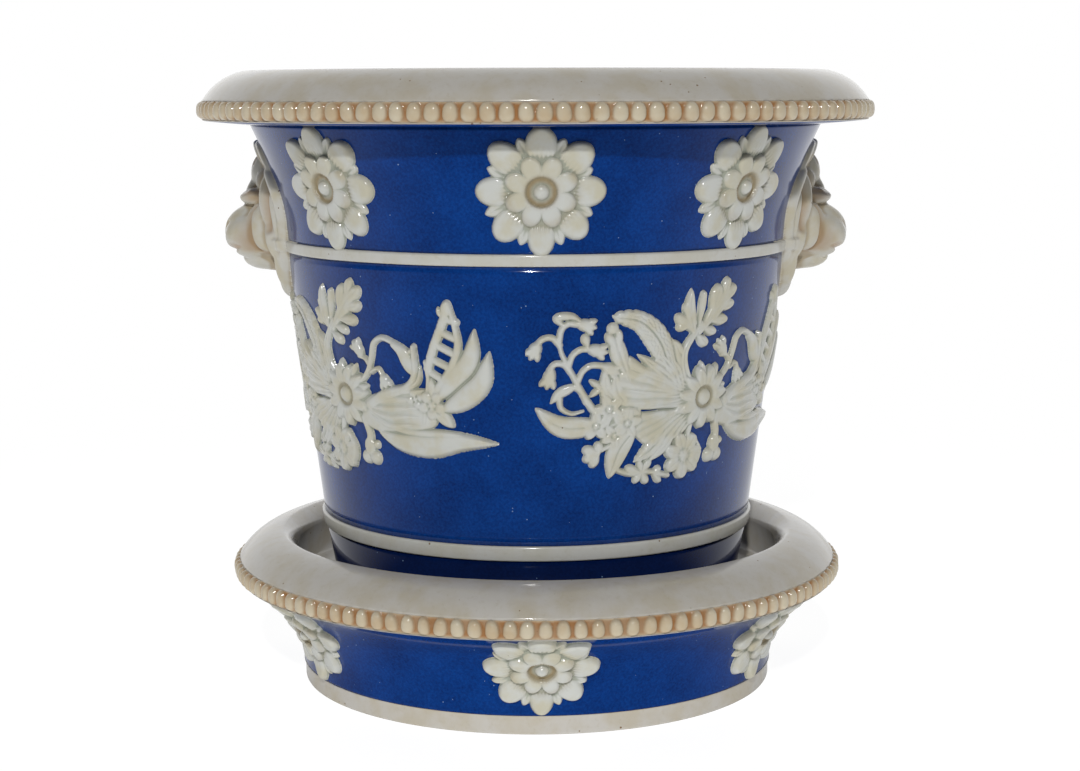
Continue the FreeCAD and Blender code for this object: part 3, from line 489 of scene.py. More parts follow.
def bead_strip(name, count, width, height, ring_r, low, high, wedge, seed):
    """A moulded strip: a height map round the ring, with one rounded block per bead.

    width and height are a bead's size; wedge narrows the beads at their top ends, so the
    gaps between them open upwards.
    """
    across = 22
    rows = 20
    rng = np.random.default_rng(seed)
    pitch = TAU * ring_r / count
    tilt = rng.normal(0, 0.05, count)[:, None, None]
    aside = rng.normal(0, 0.07, count)[:, None, None]
    wide = (width * (1 + rng.normal(0, 0.035, count)))[:, None, None]
    tall = (height * (1 + rng.normal(0, 0.02, count)))[:, None, None]
    proud = (BEAD_RADIUS * (1 + rng.uniform(-0.10, 0, count)))[:, None, None]
    u = (np.arange(across) / across - 0.5) * pitch
    v = np.linspace(low, high, rows) - (low + high) / 2
    u = u[None, None, :] - aside + tilt * v[None, :, None]
    v = v[None, :, None] * np.ones_like(u)
    narrowed = wide * (1 - wedge * np.clip(v / height + 0.5, 0, 1))
    inside = 1 - np.abs(2 * u / narrowed) ** 2.2 - np.abs(2 * v / tall) ** 2.8
    bead = np.clip(inside, 0, None) ** 0.5
    h = proud * bead
    gap = np.clip(1 - bead / 0.62, 0, 1) * np.clip(1.25 - np.abs(2 * v / tall) ** 4, 0, 1)
    h = h.transpose(1, 0, 2).reshape(rows, -1)
    gap = gap.transpose(1, 0, 2).reshape(rows, -1)
    angles = (np.arange(count * across) + 0.5) / (count * across) * TAU
    radius = ring_r - BEAD_RADIUS - 0.12 + h
    z = np.linspace(low, high, rows)[:, None] * np.ones_like(radius)
    points = np.stack([radius * np.sin(angles), -radius * np.cos(angles), z], -1)
    strip = new_object(name, points.reshape(-1, 3),
                       grid_faces(rows, count * across, False, True))
    mark(strip, "gap", gap)
    return strip


def mark(thing, name, numbers):
    """Store a number per corner point, for the material to read."""
    layer = thing.data.attributes.new(name, "FLOAT", "POINT")
    layer.data.foreach_set("value", np.asarray(numbers, np.float32).ravel())


def bead_rows():
    slot = "tan_glazed_beads"
    pot = bead_strip("pot_beads", 128, 4.7, 5.1, POT_RIM_R - BEAD_SHY, POT_SEAT_LOW,
                     POT_SEAT_HIGH, wedge=0.16, seed=11)
    dress(pot, TAN, "pot", slot, "pot_bead_row")
    stand = bead_strip("stand_beads", 120, 4.4, 5.1, STAND_RIM_R - BEAD_SHY, STAND_SEAT_LOW,
                       STAND_SEAT_HIGH, wedge=0.24, seed=12)
    dress(stand, TAN, "stand", slot, "stand_bead_row")


bead_rows()


# ---------------------------------------------------------------- reliefs

BURIED = -0.3


def blurred(field, width):
    """A field smoothed by a bell curve that is width cells wide."""
    reach = max(1, int(3 * width))
    weights = np.exp(-0.5 * (np.arange(-reach, reach + 1) / width) ** 2)
    weights /= weights.sum()
    for axis in (0, 1):
        padding = [(reach, reach) if a == axis else (0, 0) for a in (0, 1)]
        padded = np.pad(field, padding, mode="edge")
        size = field.shape[axis]
        field = sum(w * np.take(padded, np.arange(i, i + size), axis)
                    for i, w in enumerate(weights))
    return field


def curve_through(points, count=44):
    """Even samples of a smooth curve through a few points."""
    points = np.array(points, float)
    if len(points) == 2:
        return points[0] + np.linspace(0, 1, count)[:, None] * (points[1] - points[0])
    ends = np.vstack([2 * points[0] - points[1], points, 2 * points[-1] - points[-2]])
    pieces = []
    for i in range(len(points) - 1):
        a, b, c, d = ends[i:i + 4]
        t = np.linspace(0, 1, 24, endpoint=i == len(points) - 2)[:, None]
        pieces.append(0.5 * (2 * b + (c - a) * t + (2 * a - 5 * b + 4 * c - d) * t ** 2
                             + (3 * b - a - 3 * c + d) * t ** 3))
    line = np.vstack(pieces)
    run = np.concatenate([[0], np.cumsum(np.hypot(*np.diff(line, axis=0).T))])
    even = np.linspace(0, run[-1], count)
    return np.stack([np.interp(even, run, line[:, 0]), np.interp(even, run, line[:, 1])], -1)


# Half widths along a blade, from its root (0) to its tip (1), as shares of the width.
def leaf_form(t):
    return 0.5 * np.sin(math.pi * t ** 0.85) ** 0.8


def petal_form(t):
    return 0.5 * (0.42 + 0.58 * np.sin(math.pi * np.clip(t, 0, 1) ** 1.7)) * (1 - t ** 9) ** 0.5


def spoon_form(t):
    return 0.5 * (0.55 + 0.45 * np.sin(math.pi * t ** 1.25 * 0.86)) * np.sqrt(1 - t ** 5)


def stem_form(t):
    return np.full_like(t, 0.5)


def tail_form(t):
    return 0.5 * (1 - 0.55 * t)


def drop_form(t):
    return 0.5 * (0.35 + 0.65 * np.sin(math.pi * t * 0.72) ** 1.5)


def plume_form(t):
    return 0.5 * (0.72 + 0.28 * np.sin(math.pi * t)) * (1 - t ** 7) ** 0.5


class Relief:
    """Heights over a flat patch of a mould: u to the right, v up, in millimetres."""

    def __init__(self, u_range, v_range, step):
        self.step = step
        self.u0, self.v0 = u_range[0], v_range[0]
        u = np.arange(u_range[0], u_range[1] + step, step)
        v = np.arange(v_range[0], v_range[1] + step, step)
        self.u, self.v = np.meshgrid(u, v)
        self.h = np.full(self.u.shape, BURIED)
        self.stain = np.zeros(self.u.shape)

    def window(self, points, margin):
        low = np.min(points, 0) - margin
        high = np.max(points, 0) + margin
        columns = slice(max(0, int((low[0] - self.u0) / self.step)),
                        max(0, int((high[0] - self.u0) / self.step) + 2))
        rows = slice(max(0, int((low[1] - self.v0) / self.step)),
                     max(0, int((high[1] - self.v0) / self.step) + 2))
        return rows, columns

    def lay(self, where, inside, top, edge, extra=0.0, base=0.0):
        """Raise a shape: inside is how deep each point lies in its outline."""
        deep = np.clip(inside / edge, 0, 1)
        raised = base + (top - base) * np.sqrt(1 - (1 - deep) ** 2) + extra * (deep > 0.05)
        skirt = np.clip(inside * 1.6 + (base - BURIED), 0, None) * (inside > -0.35)
        raised = np.where(inside > 0, raised, BURIED + skirt)
        self.h[where] = np.maximum(self.h[where], raised)

    def blade(self, points, width, top, form=leaf_form, edge=None, crown=0.25, rib=0.0,
              lines=0, teeth=0, notch=0.13, base=0.0):
        """A leaf, petal or stem along a curve.

        crown is how much of its height lies in its roundness, rib the depth of a groove
        along it, lines the number of fine grooves, teeth the number of notches.
        """
        spine = curve_through(points)
        t = np.linspace(0, 1, len(spine))
        half = width * form(np.clip(t, 0.002, 0.998))
        if teeth:
            half = half * (1 + notch * (4 * np.abs((t * teeth) % 1 - 0.5) - 1))
        where = self.window(points, width / 2 + 1.0)
        du = self.u[where][..., None] - spine[:, 0]
        dv = self.v[where][..., None] - spine[:, 1]
        away = np.sqrt(du ** 2 + dv ** 2)
        depth = half - away
        best = depth.argmax(-1)[..., None]
        inside = np.take_along_axis(depth, best, -1)[..., 0]
        off = np.take_along_axis(away, best, -1)[..., 0]
        near = away.argmin(-1)
        along = np.gradient(spine, axis=0)
        along /= np.hypot(*along.T)[:, None] + 1e-9
        side = (np.take_along_axis(du, near[..., None], -1)[..., 0] * -along[near, 1]
                + np.take_along_axis(dv, near[..., None], -1)[..., 0] * along[near, 0])
        local = np.maximum(half[best[..., 0]], 0.15)
        extra = -crown * (top - base) * np.clip(off / local, 0, 1) ** 2
        if rib:
            extra = extra - rib * np.exp(-(side / 0.32) ** 2)
        if lines:
            wide = np.maximum(half[near], 0.3)
            extra = extra - 0.13 * (1 + np.cos(math.pi * side / wide * lines))
        if edge is None:
            edge = min(0.95, width * 0.42)
        self.lay(where, inside, top, edge, extra, base)

    def ball(self, u, v, radius, top):
        where = self.window([(u, v)], radius + 1.0)
        away = np.hypot(self.u[where] - u, self.v[where] - v)
        self.lay(where, radius - away, top, radius)

    def flower(self, u, v, petals, tip, width, top, turn=0.0, eye=0.3, form=petal_form, rib=0.0):
        """An open flower: petals round a domed eye with a groove about it."""
        for i in range(petals):
            angle = math.radians(turn + 360.0 * i / petals)
            aim = np.array([math.cos(angle), math.sin(angle)])
            root = (u + aim[0] * tip * 0.12, v + aim[1] * tip * 0.12)
            end = (u + aim[0] * (tip - width * 0.12), v + aim[1] * (tip - width * 0.12))
            self.blade([root, end], width, top * (0.94 + 0.06 * (i % 2)), form, rib=rib,
                       edge=0.55, crown=0.12)
        self.groove((u, v), tip * eye * 1.1, 0.4)
        self.ball(u, v, tip * eye * 0.8, top)

    def bell(self, root, end):
        """A nodding bell: a short tube that opens into three pointed lobes."""
        root, end = np.array(root), np.array(end)
        way = (end - root) / np.hypot(*(end - root))
        side = np.array([-way[1], way[0]])
        self.blade([root, end], 3.6, 1.5, drop_form, crown=0.3)
        for hand in (-1.5, 0.0, 1.5):
            tip = end + side * hand * 1.35 + way * (1.9 - 0.35 * abs(hand))
            self.blade([end - way * 1.3 + side * hand * 0.4, tip], 1.9, 1.5, rib=0.1)

    def groove(self, centre, radius, depth):
        """A round groove about a flower's eye."""
        where = self.window([centre], radius * 2)
        away = np.hypot(self.u[where] - centre[0], self.v[where] - centre[1])
        dip = np.exp(-((away - radius) / (radius * 0.4)) ** 2)
        self.h[where] = np.where(self.h[where] > 0.1, self.h[where] - depth * dip,
                                 self.h[where])

    def patch(self, corners, top, edge, focus=None, lines=0, crown=0.0):
        """A filled outline, with grooves that run out from a focus."""
        corners = np.array(corners, float)
        outline = curve_through(np.vstack([corners, corners[:1]]), len(corners) * 7)
        where = self.window(outline, 1.0)
        u = self.u[where]
        v = self.v[where]
        inside = np.zeros(u.shape, bool)
        nearest = np.full(u.shape, 1e9)
        for (a, b), (c, d) in zip(outline, np.roll(outline, -1, 0)):
            crossing = (b > v) != (d > v)
            at = a + (v - b) / (d - b + 1e-12) * (c - a)
            inside ^= crossing & (u < at)
            length = (c - a) ** 2 + (d - b) ** 2 + 1e-12
            t = np.clip(((u - a) * (c - a) + (v - b) * (d - b)) / length, 0, 1)
            nearest = np.minimum(nearest, np.hypot(u - a - t * (c - a), v - b - t * (d - b)))
        depth = np.where(inside, nearest, -nearest)
        extra = -crown * np.exp(-np.clip(depth, 0, None) / 1.5)
        if lines:
            angle = np.arctan2(v - focus[1], u - focus[0])
            away = np.hypot(u - focus[0], v - focus[1])
            wobble = 0.35 * np.sin(away * 0.7 + angle * 3)
            fine = np.cos(angle * lines + wobble)
            extra = extra + 0.17 * fine * np.clip(away / 5, 0, 1)
        self.lay(where, depth, top, edge, extra)

    def settle(self, softness=0.5):
        """Let the glaze round the finest edges, and note where it would pool."""
        self.h = blurred(self.h, softness)
        shown = np.clip(self.h, 0, None)
        hollow = blurred(shown, 0.9 / self.step) - shown
        self.cavity = np.clip(hollow * 1.3, 0, 1) * (self.h > 0.05)
        return self


def shown_mesh(name, points, raised, cavity, stain):
    """A mesh of a grid of places, without the faces that stay buried in the wall."""
    faces = grid_faces(*raised.shape, False, False)
    faces = faces[(raised.ravel()[faces] > BURIED * 0.75).any(1)]
    used = np.unique(faces)
    renumber = np.zeros(raised.size, np.int64)
    renumber[used] = np.arange(len(used))
    thing = new_object(name, points.reshape(-1, 3)[used], renumber[faces])
    mark(thing, "cavity", cavity.ravel()[used])
    mark(thing, "stain", stain.ravel()[used])
    return thing


def relief_mesh(name, relief, wrap):
    """A mesh of a relief on its wall; wrap turns (u, v, height) into places."""
    points = wrap(relief.u, relief.v, relief.h)
    return shown_mesh(name, points, relief.h, relief.cavity, relief.stain)


def set_round(first, azimuths, names, material, body, prefix):
    """One mould used several times round a vessel."""
    for i, (azimuth, name) in enumerate(zip(azimuths, names)):
        if i == 0:
            piece = first
            piece.data.materials.append(material)
        else:
            piece = bpy.data.objects.new(prefix + name, first.data)
            bpy.context.scene.collection.objects.link(piece)
        piece.rotation_euler = (0, 0, math.radians(azimuth))
        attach(piece, body)
        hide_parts(prefix + name)


def wrapped(line_r, azimuth_r, middle):
    """Places on a vessel's front: u along the wall, v up from a middle height."""
    def wrap(u, v, h):
        z = middle + v
        radius = line_r(z) + h
        angle = u / azimuth_r
        return np.stack([radius * np.sin(angle), -radius * np.cos(angle), z], -1)
    return wrap


# ---------------------------------------------------------------- rosettes

def rosette_mould(size):
    """A double rosette whose petal tips lie size from its heart."""
    s = size / 16.4
    mould = Relief((-18 * s, 18 * s), (-18 * s, 18 * s), 0.17)
    rng = np.random.default_rng(3)
    for i in range(8):
        angle = math.radians(22.5 + 45 * i + rng.normal(0, 1.2))
        aim = np.array([math.cos(angle), math.sin(angle)]) * s
        tip = 15.2 + rng.normal(0, 0.3)
        mould.blade([aim * 7.5, aim * tip], 4.4 * s, 1.15, edge=0.8, rib=0.3,
                    crown=0.3)
    for i in range(8):
        angle = math.radians(45 * i + rng.normal(0, 0.8))
        aim = np.array([math.cos(angle), math.sin(angle)]) * s
        tip = 15.7 + rng.normal(0, 0.25)
        mould.blade([aim * 6.5, aim * 10.5, aim * tip], (8.6 + rng.normal(0, 0.2)) * s, 2.0,
                    spoon_form, edge=1.4, crown=0.2)
    away = np.hypot(mould.u, mould.v) / s
    turn = np.arctan2(mould.v, mould.u)
    lined = np.clip((12.2 - away) / 3.0, 0, 1) * (away > 6.5)
    mould.h -= np.where(mould.h > 0.3, 0.13 * lined * (1 + np.cos(turn * 56)), 0)
    mould.h -= np.where(mould.h > 0.3, 0.75 * np.exp(-((away - 8.2) / 1.7) ** 2), 0)
    for i in range(8):
        angle = math.radians(22.5 + 45 * i + rng.normal(0, 0.8))
        aim = np.array([math.cos(angle), math.sin(angle)]) * s
        tip = 8.6 + rng.normal(0, 0.15)
        mould.blade([aim * 3.4, aim * tip], 6.1 * s, 2.7, spoon_form, edge=1.1,
                    crown=0.18, base=0.6)
    collar = 2.55 - 0.35 * np.clip((away - 4.6) / 1.2, 0, 1)
    mould.h = np.where(away < 5.2, np.maximum(mould.h, collar), mould.h)
    dish = np.clip((4.35 - away) / 0.7, 0, 1)
    mould.h -= np.where(away < 4.4, 1.15 * dish * dish * (3 - 2 * dish), 0)
    mould.h -= 0.14 * np.exp(-((away - 4.15) / 0.5) ** 2) * (1 + np.cos(turn * 38))
    button = np.clip(1 - (away / 2.05) ** 2, 0, None) ** 0.5
    mould.h = np.maximum(mould.h, 1.15 + 2.1 * button - 10 * (away > 2.05))
    mould.stain = (np.exp(-((away - 3.4) / 0.95) ** 2) * 0.85
                   + 0.25 * np.exp(-((away - 9.0) / 1.3) ** 2) * (turn < 0.6))
    return mould.settle(0.55)


def line_radius(points):
    """Radius of a wall line at any height."""
    points = np.array(points)
    return lambda z: np.interp(z, points[:, 1], points[:, 0])


def rosettes():
    neck = line_radius(neck_line(80))
    mould = rosette_mould(16.5)
    middle = (NECK_LOW_Z + NECK_HIGH_Z) / 2
    first = relief_mesh("pot_rosette", mould, wrapped(neck, neck(middle), middle))
    set_round(first, (1.2, 46.3, 135, 180, 225, 313.6),
              ("front", "front_right", "back_right", "back", "back_left", "front_left"),
              WHITE, "pot", "pot_rosette_")
    cove = cove_line(120)
    run = np.concatenate([[0], np.cumsum(np.hypot(*np.diff(np.array(cove), axis=0).T))])
    up = np.array(cove)
    heart = run[-1] / 2
    mould = rosette_mould(15.3)

    def wrap(u, v, h):
        """Along the cove, standing square to it."""
        along = np.clip(heart + v, 0.15, run[-1] - 0.15)
        radius = np.interp(along, run, up[:, 0])
        z = np.interp(along, run, up[:, 1])
        ahead = np.interp(along + 0.1, run, up[:, 0]) - np.interp(along - 0.1, run, up[:, 0])
        lean = np.clip(ahead / 0.2, -0.99, 0.99)
        radius = radius + h * np.sqrt(1 - lean ** 2)
        z = z - h * lean
        angle = u / up[60, 0]
        return np.stack([radius * np.sin(angle), -radius * np.cos(angle), z], -1)

    first = relief_mesh("stand_rosette", mould, wrap)
    set_round(first, (1.1, 60, 120, 180, 240, 300),
              ("front", "front_right", "back_right", "back", "back_left", "front_left"),
              WHITE, "stand", "stand_rosette_")


rosettes()


# ---------------------------------------------------------------- flower sprays

def spray_mould():
    """The flower spray: one mould, drawn about the centre of its daisy."""
    m = Relief((-52.5, 51), (-24.5, 34), 0.21)
    # far leaves and fans, low
    m.patch([(-30.5, -1.5), (-21, -0.5), (-21, -9), (-26.5, -11), (-31, -8)], 1.0, 0.9,
            (-20, -4), 30)
    m.patch([(-20, -2.8), (-5, -3), (-4, -8), (-10, -11.8), (-17, -12.8), (-22.4, -8.2)], 1.15,
            0.9, (2, 2), 66)
    m.patch([(-5, -2.6), (-6, 4.5), (-9.6, 9.3), (-13.8, 11), (-16.8, 12.4), (-19.6, 10.2),
             (-24.8, 13.2), (-25.6, 9.6), (-28, 7.8), (-27.4, 1.2), (-21.8, -1.9)], 1.35, 1.1,
            (0, 0), 60)
    for tip_u, tip_v, width in ((-27.4, 10.6, 4.0), (-22.6, 13.6, 4.2), (-17.0, 14.2, 4.0),
                                (-27.8, 4.4, 3.8), (-12.6, 12.2, 4.0), (-24.6, 8.8, 5.0)):
        m.blade([(-7.5, 1.8), (tip_u * 0.62 - 2, tip_v * 0.62 + 0.6), (tip_u, tip_v)], width,
                1.6, rib=0.18, lines=3)
    # the plume
    m.blade([(-11.5, 3.5), (-13.4, 10.5), (-16.4, 17.0), (-22.0, 22.4), (-29.6, 24.2)], 6.0,
            1.45, plume_form, edge=0.7, rib=0.35, lines=5, teeth=15, notch=0.3, crown=0.3)
    m.blade([(-9.5, 3.0), (-11.6, 11.0), (-13.4, 16.8)], 3.8, 1.5, tail_form, rib=0.2, lines=3)
    m.blade([(-9.0, 5.5), (-9.6, 11.0), (-12.2, 17.6)], 2.6, 1.3)
    # the bud with its calyx, left of the plume
    m.blade([(-24.4, 6.0), (-26.8, 11.6), (-28.8, 17.2)], 5.0, 1.55, drop_form, rib=0.15,
            lines=3)
    m.blade([(-28.2, 14.6), (-31.2, 19.6)], 2.9, 1.5, petal_form)
    m.blade([(-28.0, 14.6), (-28.0, 20.4)], 2.8, 1.5, petal_form)
    m.ball(-29.6, 20.8, 1.7, 1.5)
    # branch with the two lobed leaves at the top
    m.blade([(-4.6, 2.5), (-7.4, 8.5), (-7.8, 13.5), (-5.0, 18.0), (-2.6, 21.0)], 4.0, 1.6,
            tail_form, rib=0.2, lines=2)
    m.blade([(-7.9, 12.0), (-10.2, 15.2), (-11.8, 16.8)], 2.6, 1.4)
    m.blade([(-5.2, 18.0), (-7.2, 24.6), (-7.0, 31.0)], 4.2, 1.55, rib=0.28)
    for start, end, width in (((-5.6, 19.0), (-11.4, 23.6), 3.6), ((-6.0, 21.0), (-10.8, 20.2),
                              3.2), ((-5.0, 21.0), (-9.0, 26.6), 3.4)):
        m.blade([start, end], width, 1.45, petal_form)
    m.blade([(-3.8, 20.0), (-3.2, 24.6), (-2.8, 29.0)], 2.6, 1.45, drop_form)
    for start, end, width in (((-3.2, 18.6), (7.4, 30.2), 5.4), ((0.4, 22.8), (2.6, 31.2), 4.6),
                              ((3.4, 26.0), (9.2, 30.6), 4.0), ((2.4, 24.4), (9.0, 26.0), 3.6),
                              ((-0.4, 21.4), (7.0, 21.4), 3.6), ((-2.6, 19.6), (2.8, 18.0), 3.2),
                              ((4.0, 27.0), (6.0, 33.0), 3.4), ((-4.0, 17.6), (-0.2, 14.8), 3.4)):
        m.blade([start, end], width, 1.5, petal_form, rib=0.16)
    # lily of the valley
    lily = [(-32.4, -4.0), (-36.4, 1.6), (-39.2, 6.6), (-41.2, 10.5), (-43.0, 14.2),
            (-44.0, 18.2)]
    m.blade(lily, 2.5, 1.3, tail_form, edge=0.95)
    for line in ([(-43.6, 16.6), (-45.6, 18.6), (-48.0, 18.3), (-49.6, 16.6)],
                 [(-43.8, 17.4), (-43.2, 20.8), (-41.4, 22.4), (-39.0, 22.2)],
                 [(-41.2, 10.6), (-40.2, 13.6), (-38.2, 15.2), (-36.0, 15.4)],
                 [(-40.4, 8.8), (-42.4, 11.2), (-44.8, 11.4), (-46.2, 9.8)],
                 [(-38.8, 6.0), (-37.4, 9.2), (-35.0, 10.8), (-31.4, 10.6)],
                 [(-36.2, 0.6), (-37.6, 3.6), (-40.0, 5.0), (-42.4, 4.2), (-43.6, 2.2)]):
        m.blade(line, 1.75, 1.2, stem_form, edge=0.75)
    for root, end in (((-49.0, 17.4), (-50.6, 14.2)), ((-45.6, 10.6), (-46.6, 6.2)),
                      ((-39.4, 22.6), (-35.6, 21.6)), ((-36.6, 15.6), (-32.4, 14.6)),
                      ((-32.4, 10.8), (-28.6, 9.0))):
        m.bell(root, end)
    m.blade([(-42.4, 21.6), (-44.4, 24.0), (-40.6, 24.4), (-37.4, 22.6)], 2.4, 1.35)
    m.blade([(-36.2, 15.8), (-37.2, 19.2)], 2.6, 1.4, petal_form)
    m.blade([(-39.0, 5.2), (-43.2, 3.4), (-46.0, 0.4)], 3.0, 1.25, rib=0.2)
    m.blade([(-43.6, 2.4), (-43.0, -0.8), (-40.2, -2.4), (-37.0, -1.8)], 1.9, 1.2, tail_form)
    for angle in (10, 78, 146, 218, 290):
        aim = math.radians(angle)
        m.blade([(-32.2, 4.6), (-32.2 + 4.1 * math.cos(aim), 4.6 + 4.1 * math.sin(aim))], 2.0,
                1.35)
    # the long leaf at the left and the cluster of small flowers
    m.blade([(-31.0, -5.2), (-38.0, -6.4), (-44.0, -5.6), (-50.2, -0.6)], 6.2, 1.45,
            rib=0.35, crown=0.3)
    m.blade([(-28.0, 1.0), (-30.6, 4.4), (-31.6, 10.0)], 3.6, 1.4, rib=0.2)
    m.blade([(-24.0, -1.0), (-27.6, 3.0), (-28.6, 9.0)], 4.4, 1.5, rib=0.3)
    for u, v, tip, width, top, turn in (
            (-33.4, -6.0, 4.6, 3.1, 1.75, 20), (-28.0, -9.0, 4.2, 2.9, 1.6, 60),
            (-29.8, -1.4, 4.8, 3.2, 1.7, 40), (-24.4, -5.6, 4.8, 3.2, 1.7, 12)):
        m.flower(u, v, 5, tip, width, top, turn, eye=0.2, form=leaf_form, rib=0.15)
    m.blade([(-20.5, -3.0), (-25.0, -2.4), (-29.0, -4.8)], 3.4, 1.5, rib=0.2)
    # sprig of three lobes, oval leaf and twig below
    m.blade([(-27.0, -11.0), (-31.0, -12.6), (-34.0, -14.2)], 1.7, 1.2, stem_form)
    for end in ((-36.4, -15.6), (-34.2, -17.4), (-36.6, -12.6), (-32.4, -11.2)):
        m.blade([(-32.2, -13.6), end], 3.1, 1.4, petal_form)
    m.blade([(-22.0, -7.4), (-26.4, -13.0), (-29.0, -21.2)], 6.6, 1.5, rib=0.4,
            crown=0.3)
    m.blade([(-27.2, -18.6), (-22.4, -20.2), (-17.0, -19.9), (-10.0, -21.6)], 1.8, 1.2,
            stem_form)
    for end, width in (((-24.0, -18.2), 2.6), ((-21.0, -22.6), 2.6), ((-17.0, -23.0), 2.8),
                       ((-16.4, -16.6), 2.8), ((-19.8, -16.8), 2.4), ((-12.8, -19.2), 2.4),
                       ((-12.4, -23.2), 2.4)):
        m.blade([(-19.0, -20.0) if end[0] < -16 else (-15.4, -20.4), end], width, 1.3,
                petal_form)
    m.blade([(-11.8, -7.4), (-16.0, -13.0), (-21.6, -17.0)], 5.0, 1.45, rib=0.3,
            lines=2, teeth=7)
    m.blade([(-9.0, -9.0), (-12.0, -13.0), (-17.4, -17.2)], 3.4, 1.4, rib=0.2)
    # hanging flower under the daisy
    m.blade([(-3.2, -6.0), (-4.2, -10.6), (-4.2, -14.0)], 2.2, 1.4, stem_form)
    m.flower(-5.2, -16.2, 7, 6.6, 4.4, 1.9, turn=8, eye=0.26, rib=0.18)
    m.blade([(-1.0, -12.0), (0.4, -15.4), (-1.2, -20.4)], 3.2, 1.7, petal_form)
    m.ball(-6.0, -20.8, 1.8, 1.6)
    # right bud below
    m.blade([(6.0, -6.0), (7.6, -10.6), (7.4, -14.0)], 2.6, 1.4, stem_form)
    m.blade([(7.3, -11.6), (7.3, -15.4)], 4.6, 1.6, drop_form)
    m.ball(5.6, -17.4, 2.2, 1.7)
    m.ball(8.9, -17.4, 2.2, 1.7)
    m.ball(9.8, -13.6, 1.3, 1.3)
    # shell body, horn and blades on the right
    m.patch([(5, -1.2), (11, 1.2), (17, 2.8), (23.5, 4.0), (30.5, 2.0), (32, -2.6), (30, -7.2),
             (20, -9.2), (11, -9.6), (6, -7)], 1.4, 1.2, (6, -16), 0, 0.1)
    for k, rise in enumerate((-7.6, -5.2, -2.8, -0.4, 1.8)):
        m.blade([(8.0, -3.6 + k * 0.5), (16.0, rise + 0.2), (23.0, rise + 0.9),
                 (30.0, rise + 0.8 + 0.25 * k)], 2.8, 1.75, edge=1.0, crown=0.3)
    m.blade([(9.6, -2.0), (16.5, 1.8), (22.6, 3.8), (25.6, 8.0), (25.6, 15.4)], 4.0, 1.85,
            tail_form, crown=0.35)
    m.blade([(12.5, -0.2), (20.0, 2.2), (26.2, 5.6), (27.4, 10.5)], 2.6, 1.9)
    m.blade([(11.0, -9.0), (19.0, -11.8), (29.0, -12.3), (38.0, -10.7), (49.4, -10.9)], 7.4, 1.8,
            edge=1.4, crown=0.35, lines=2)
    m.blade([(13.0, -7.8), (24.0, -8.8), (36.0, -8.6), (44.0, -9.8)], 2.6, 1.6)
    # serrated leaf with three openings
    m.blade([(31.8, 3.0), (36.0, 9.0), (38.4, 15.4), (38.0, 21.0), (36.6, 27.0)], 3.6, 1.5,
            tail_form, crown=0.3)
    m.blade([(29.6, 9.6), (31.4, 15.0), (33.6, 20.0), (35.8, 25.4)], 2.7, 1.35, stem_form,
            teeth=16)
    for start, end in (((30.4, 12.4), (36.4, 9.6)), ((32.0, 16.4), (37.6, 13.6)),
                       ((33.4, 20.0), (38.2, 17.8)), ((34.8, 23.6), (38.2, 22.6)),
                       ((29.6, 8.8), (34.4, 6.0))):
        m.blade([start, end], 2.3, 1.3, stem_form)
    m.blade([(34.8, 23.0), (36.2, 28.4)], 3.2, 1.45, petal_form)
    m.blade([(34.0, 24.0), (33.4, 26.8)], 1.5, 1.3)
    m.blade([(29.0, 1.8), (29.4, 6.6), (28.6, 11.4)], 2.2, 1.3, tail_form)
    # two smooth petals, forget-me-not and small leaves
    m.blade([(32.0, 0.6), (37.0, 7.0), (41.6, 12.4), (43.2, 21.2)], 6.2, 1.75,
            edge=1.4, crown=0.35)
    m.blade([(32.6, -2.2), (39.0, 1.2), (44.6, 6.4), (47.0, 15.0)], 6.8, 1.9,
            edge=1.5, crown=0.4)
    m.blade([(30.6, 1.4), (30.4, 7.0)], 3.0, 1.6)
    m.blade([(31.0, -1.8), (36.4, -6.6)], 4.2, 1.6, rib=0.2)
    m.blade([(28.8, -2.6), (27.6, -7.0)], 3.4, 1.6, rib=0.2)
    m.flower(30.4, -0.6, 5, 4.0, 3.3, 2.05, turn=54)
    m.flower(25.4, 0.8, 4, 2.6, 2.4, 1.95, turn=20)
    # stems with bells at the daisy's upper right
    m.blade([(5.6, 3.4), (9.6, 7.6), (11.4, 12.0), (12.6, 15.6), (15.6, 17.2), (19.4, 16.0),
             (21.6, 14.4)], 1.9, 1.4, stem_form, edge=0.8)
    m.blade([(19.6, 15.6), (22.4, 13.2), (25.0, 7.6)], 4.8, 1.65, spoon_form, crown=0.35)
    m.ball(24.6, 14.0, 0.9, 1.3)
    m.blade([(10.6, 8.6), (9.0, 10.8), (6.8, 11.4)], 1.5, 1.3, stem_form)
    m.bell((8.0, 11.2), (5.6, 14.4))
    m.blade([(10.6, 7.2), (13.2, 8.4), (14.8, 6.4)], 1.4, 1.3, stem_form)
    m.bell((14.6, 6.8), (15.6, 4.2))
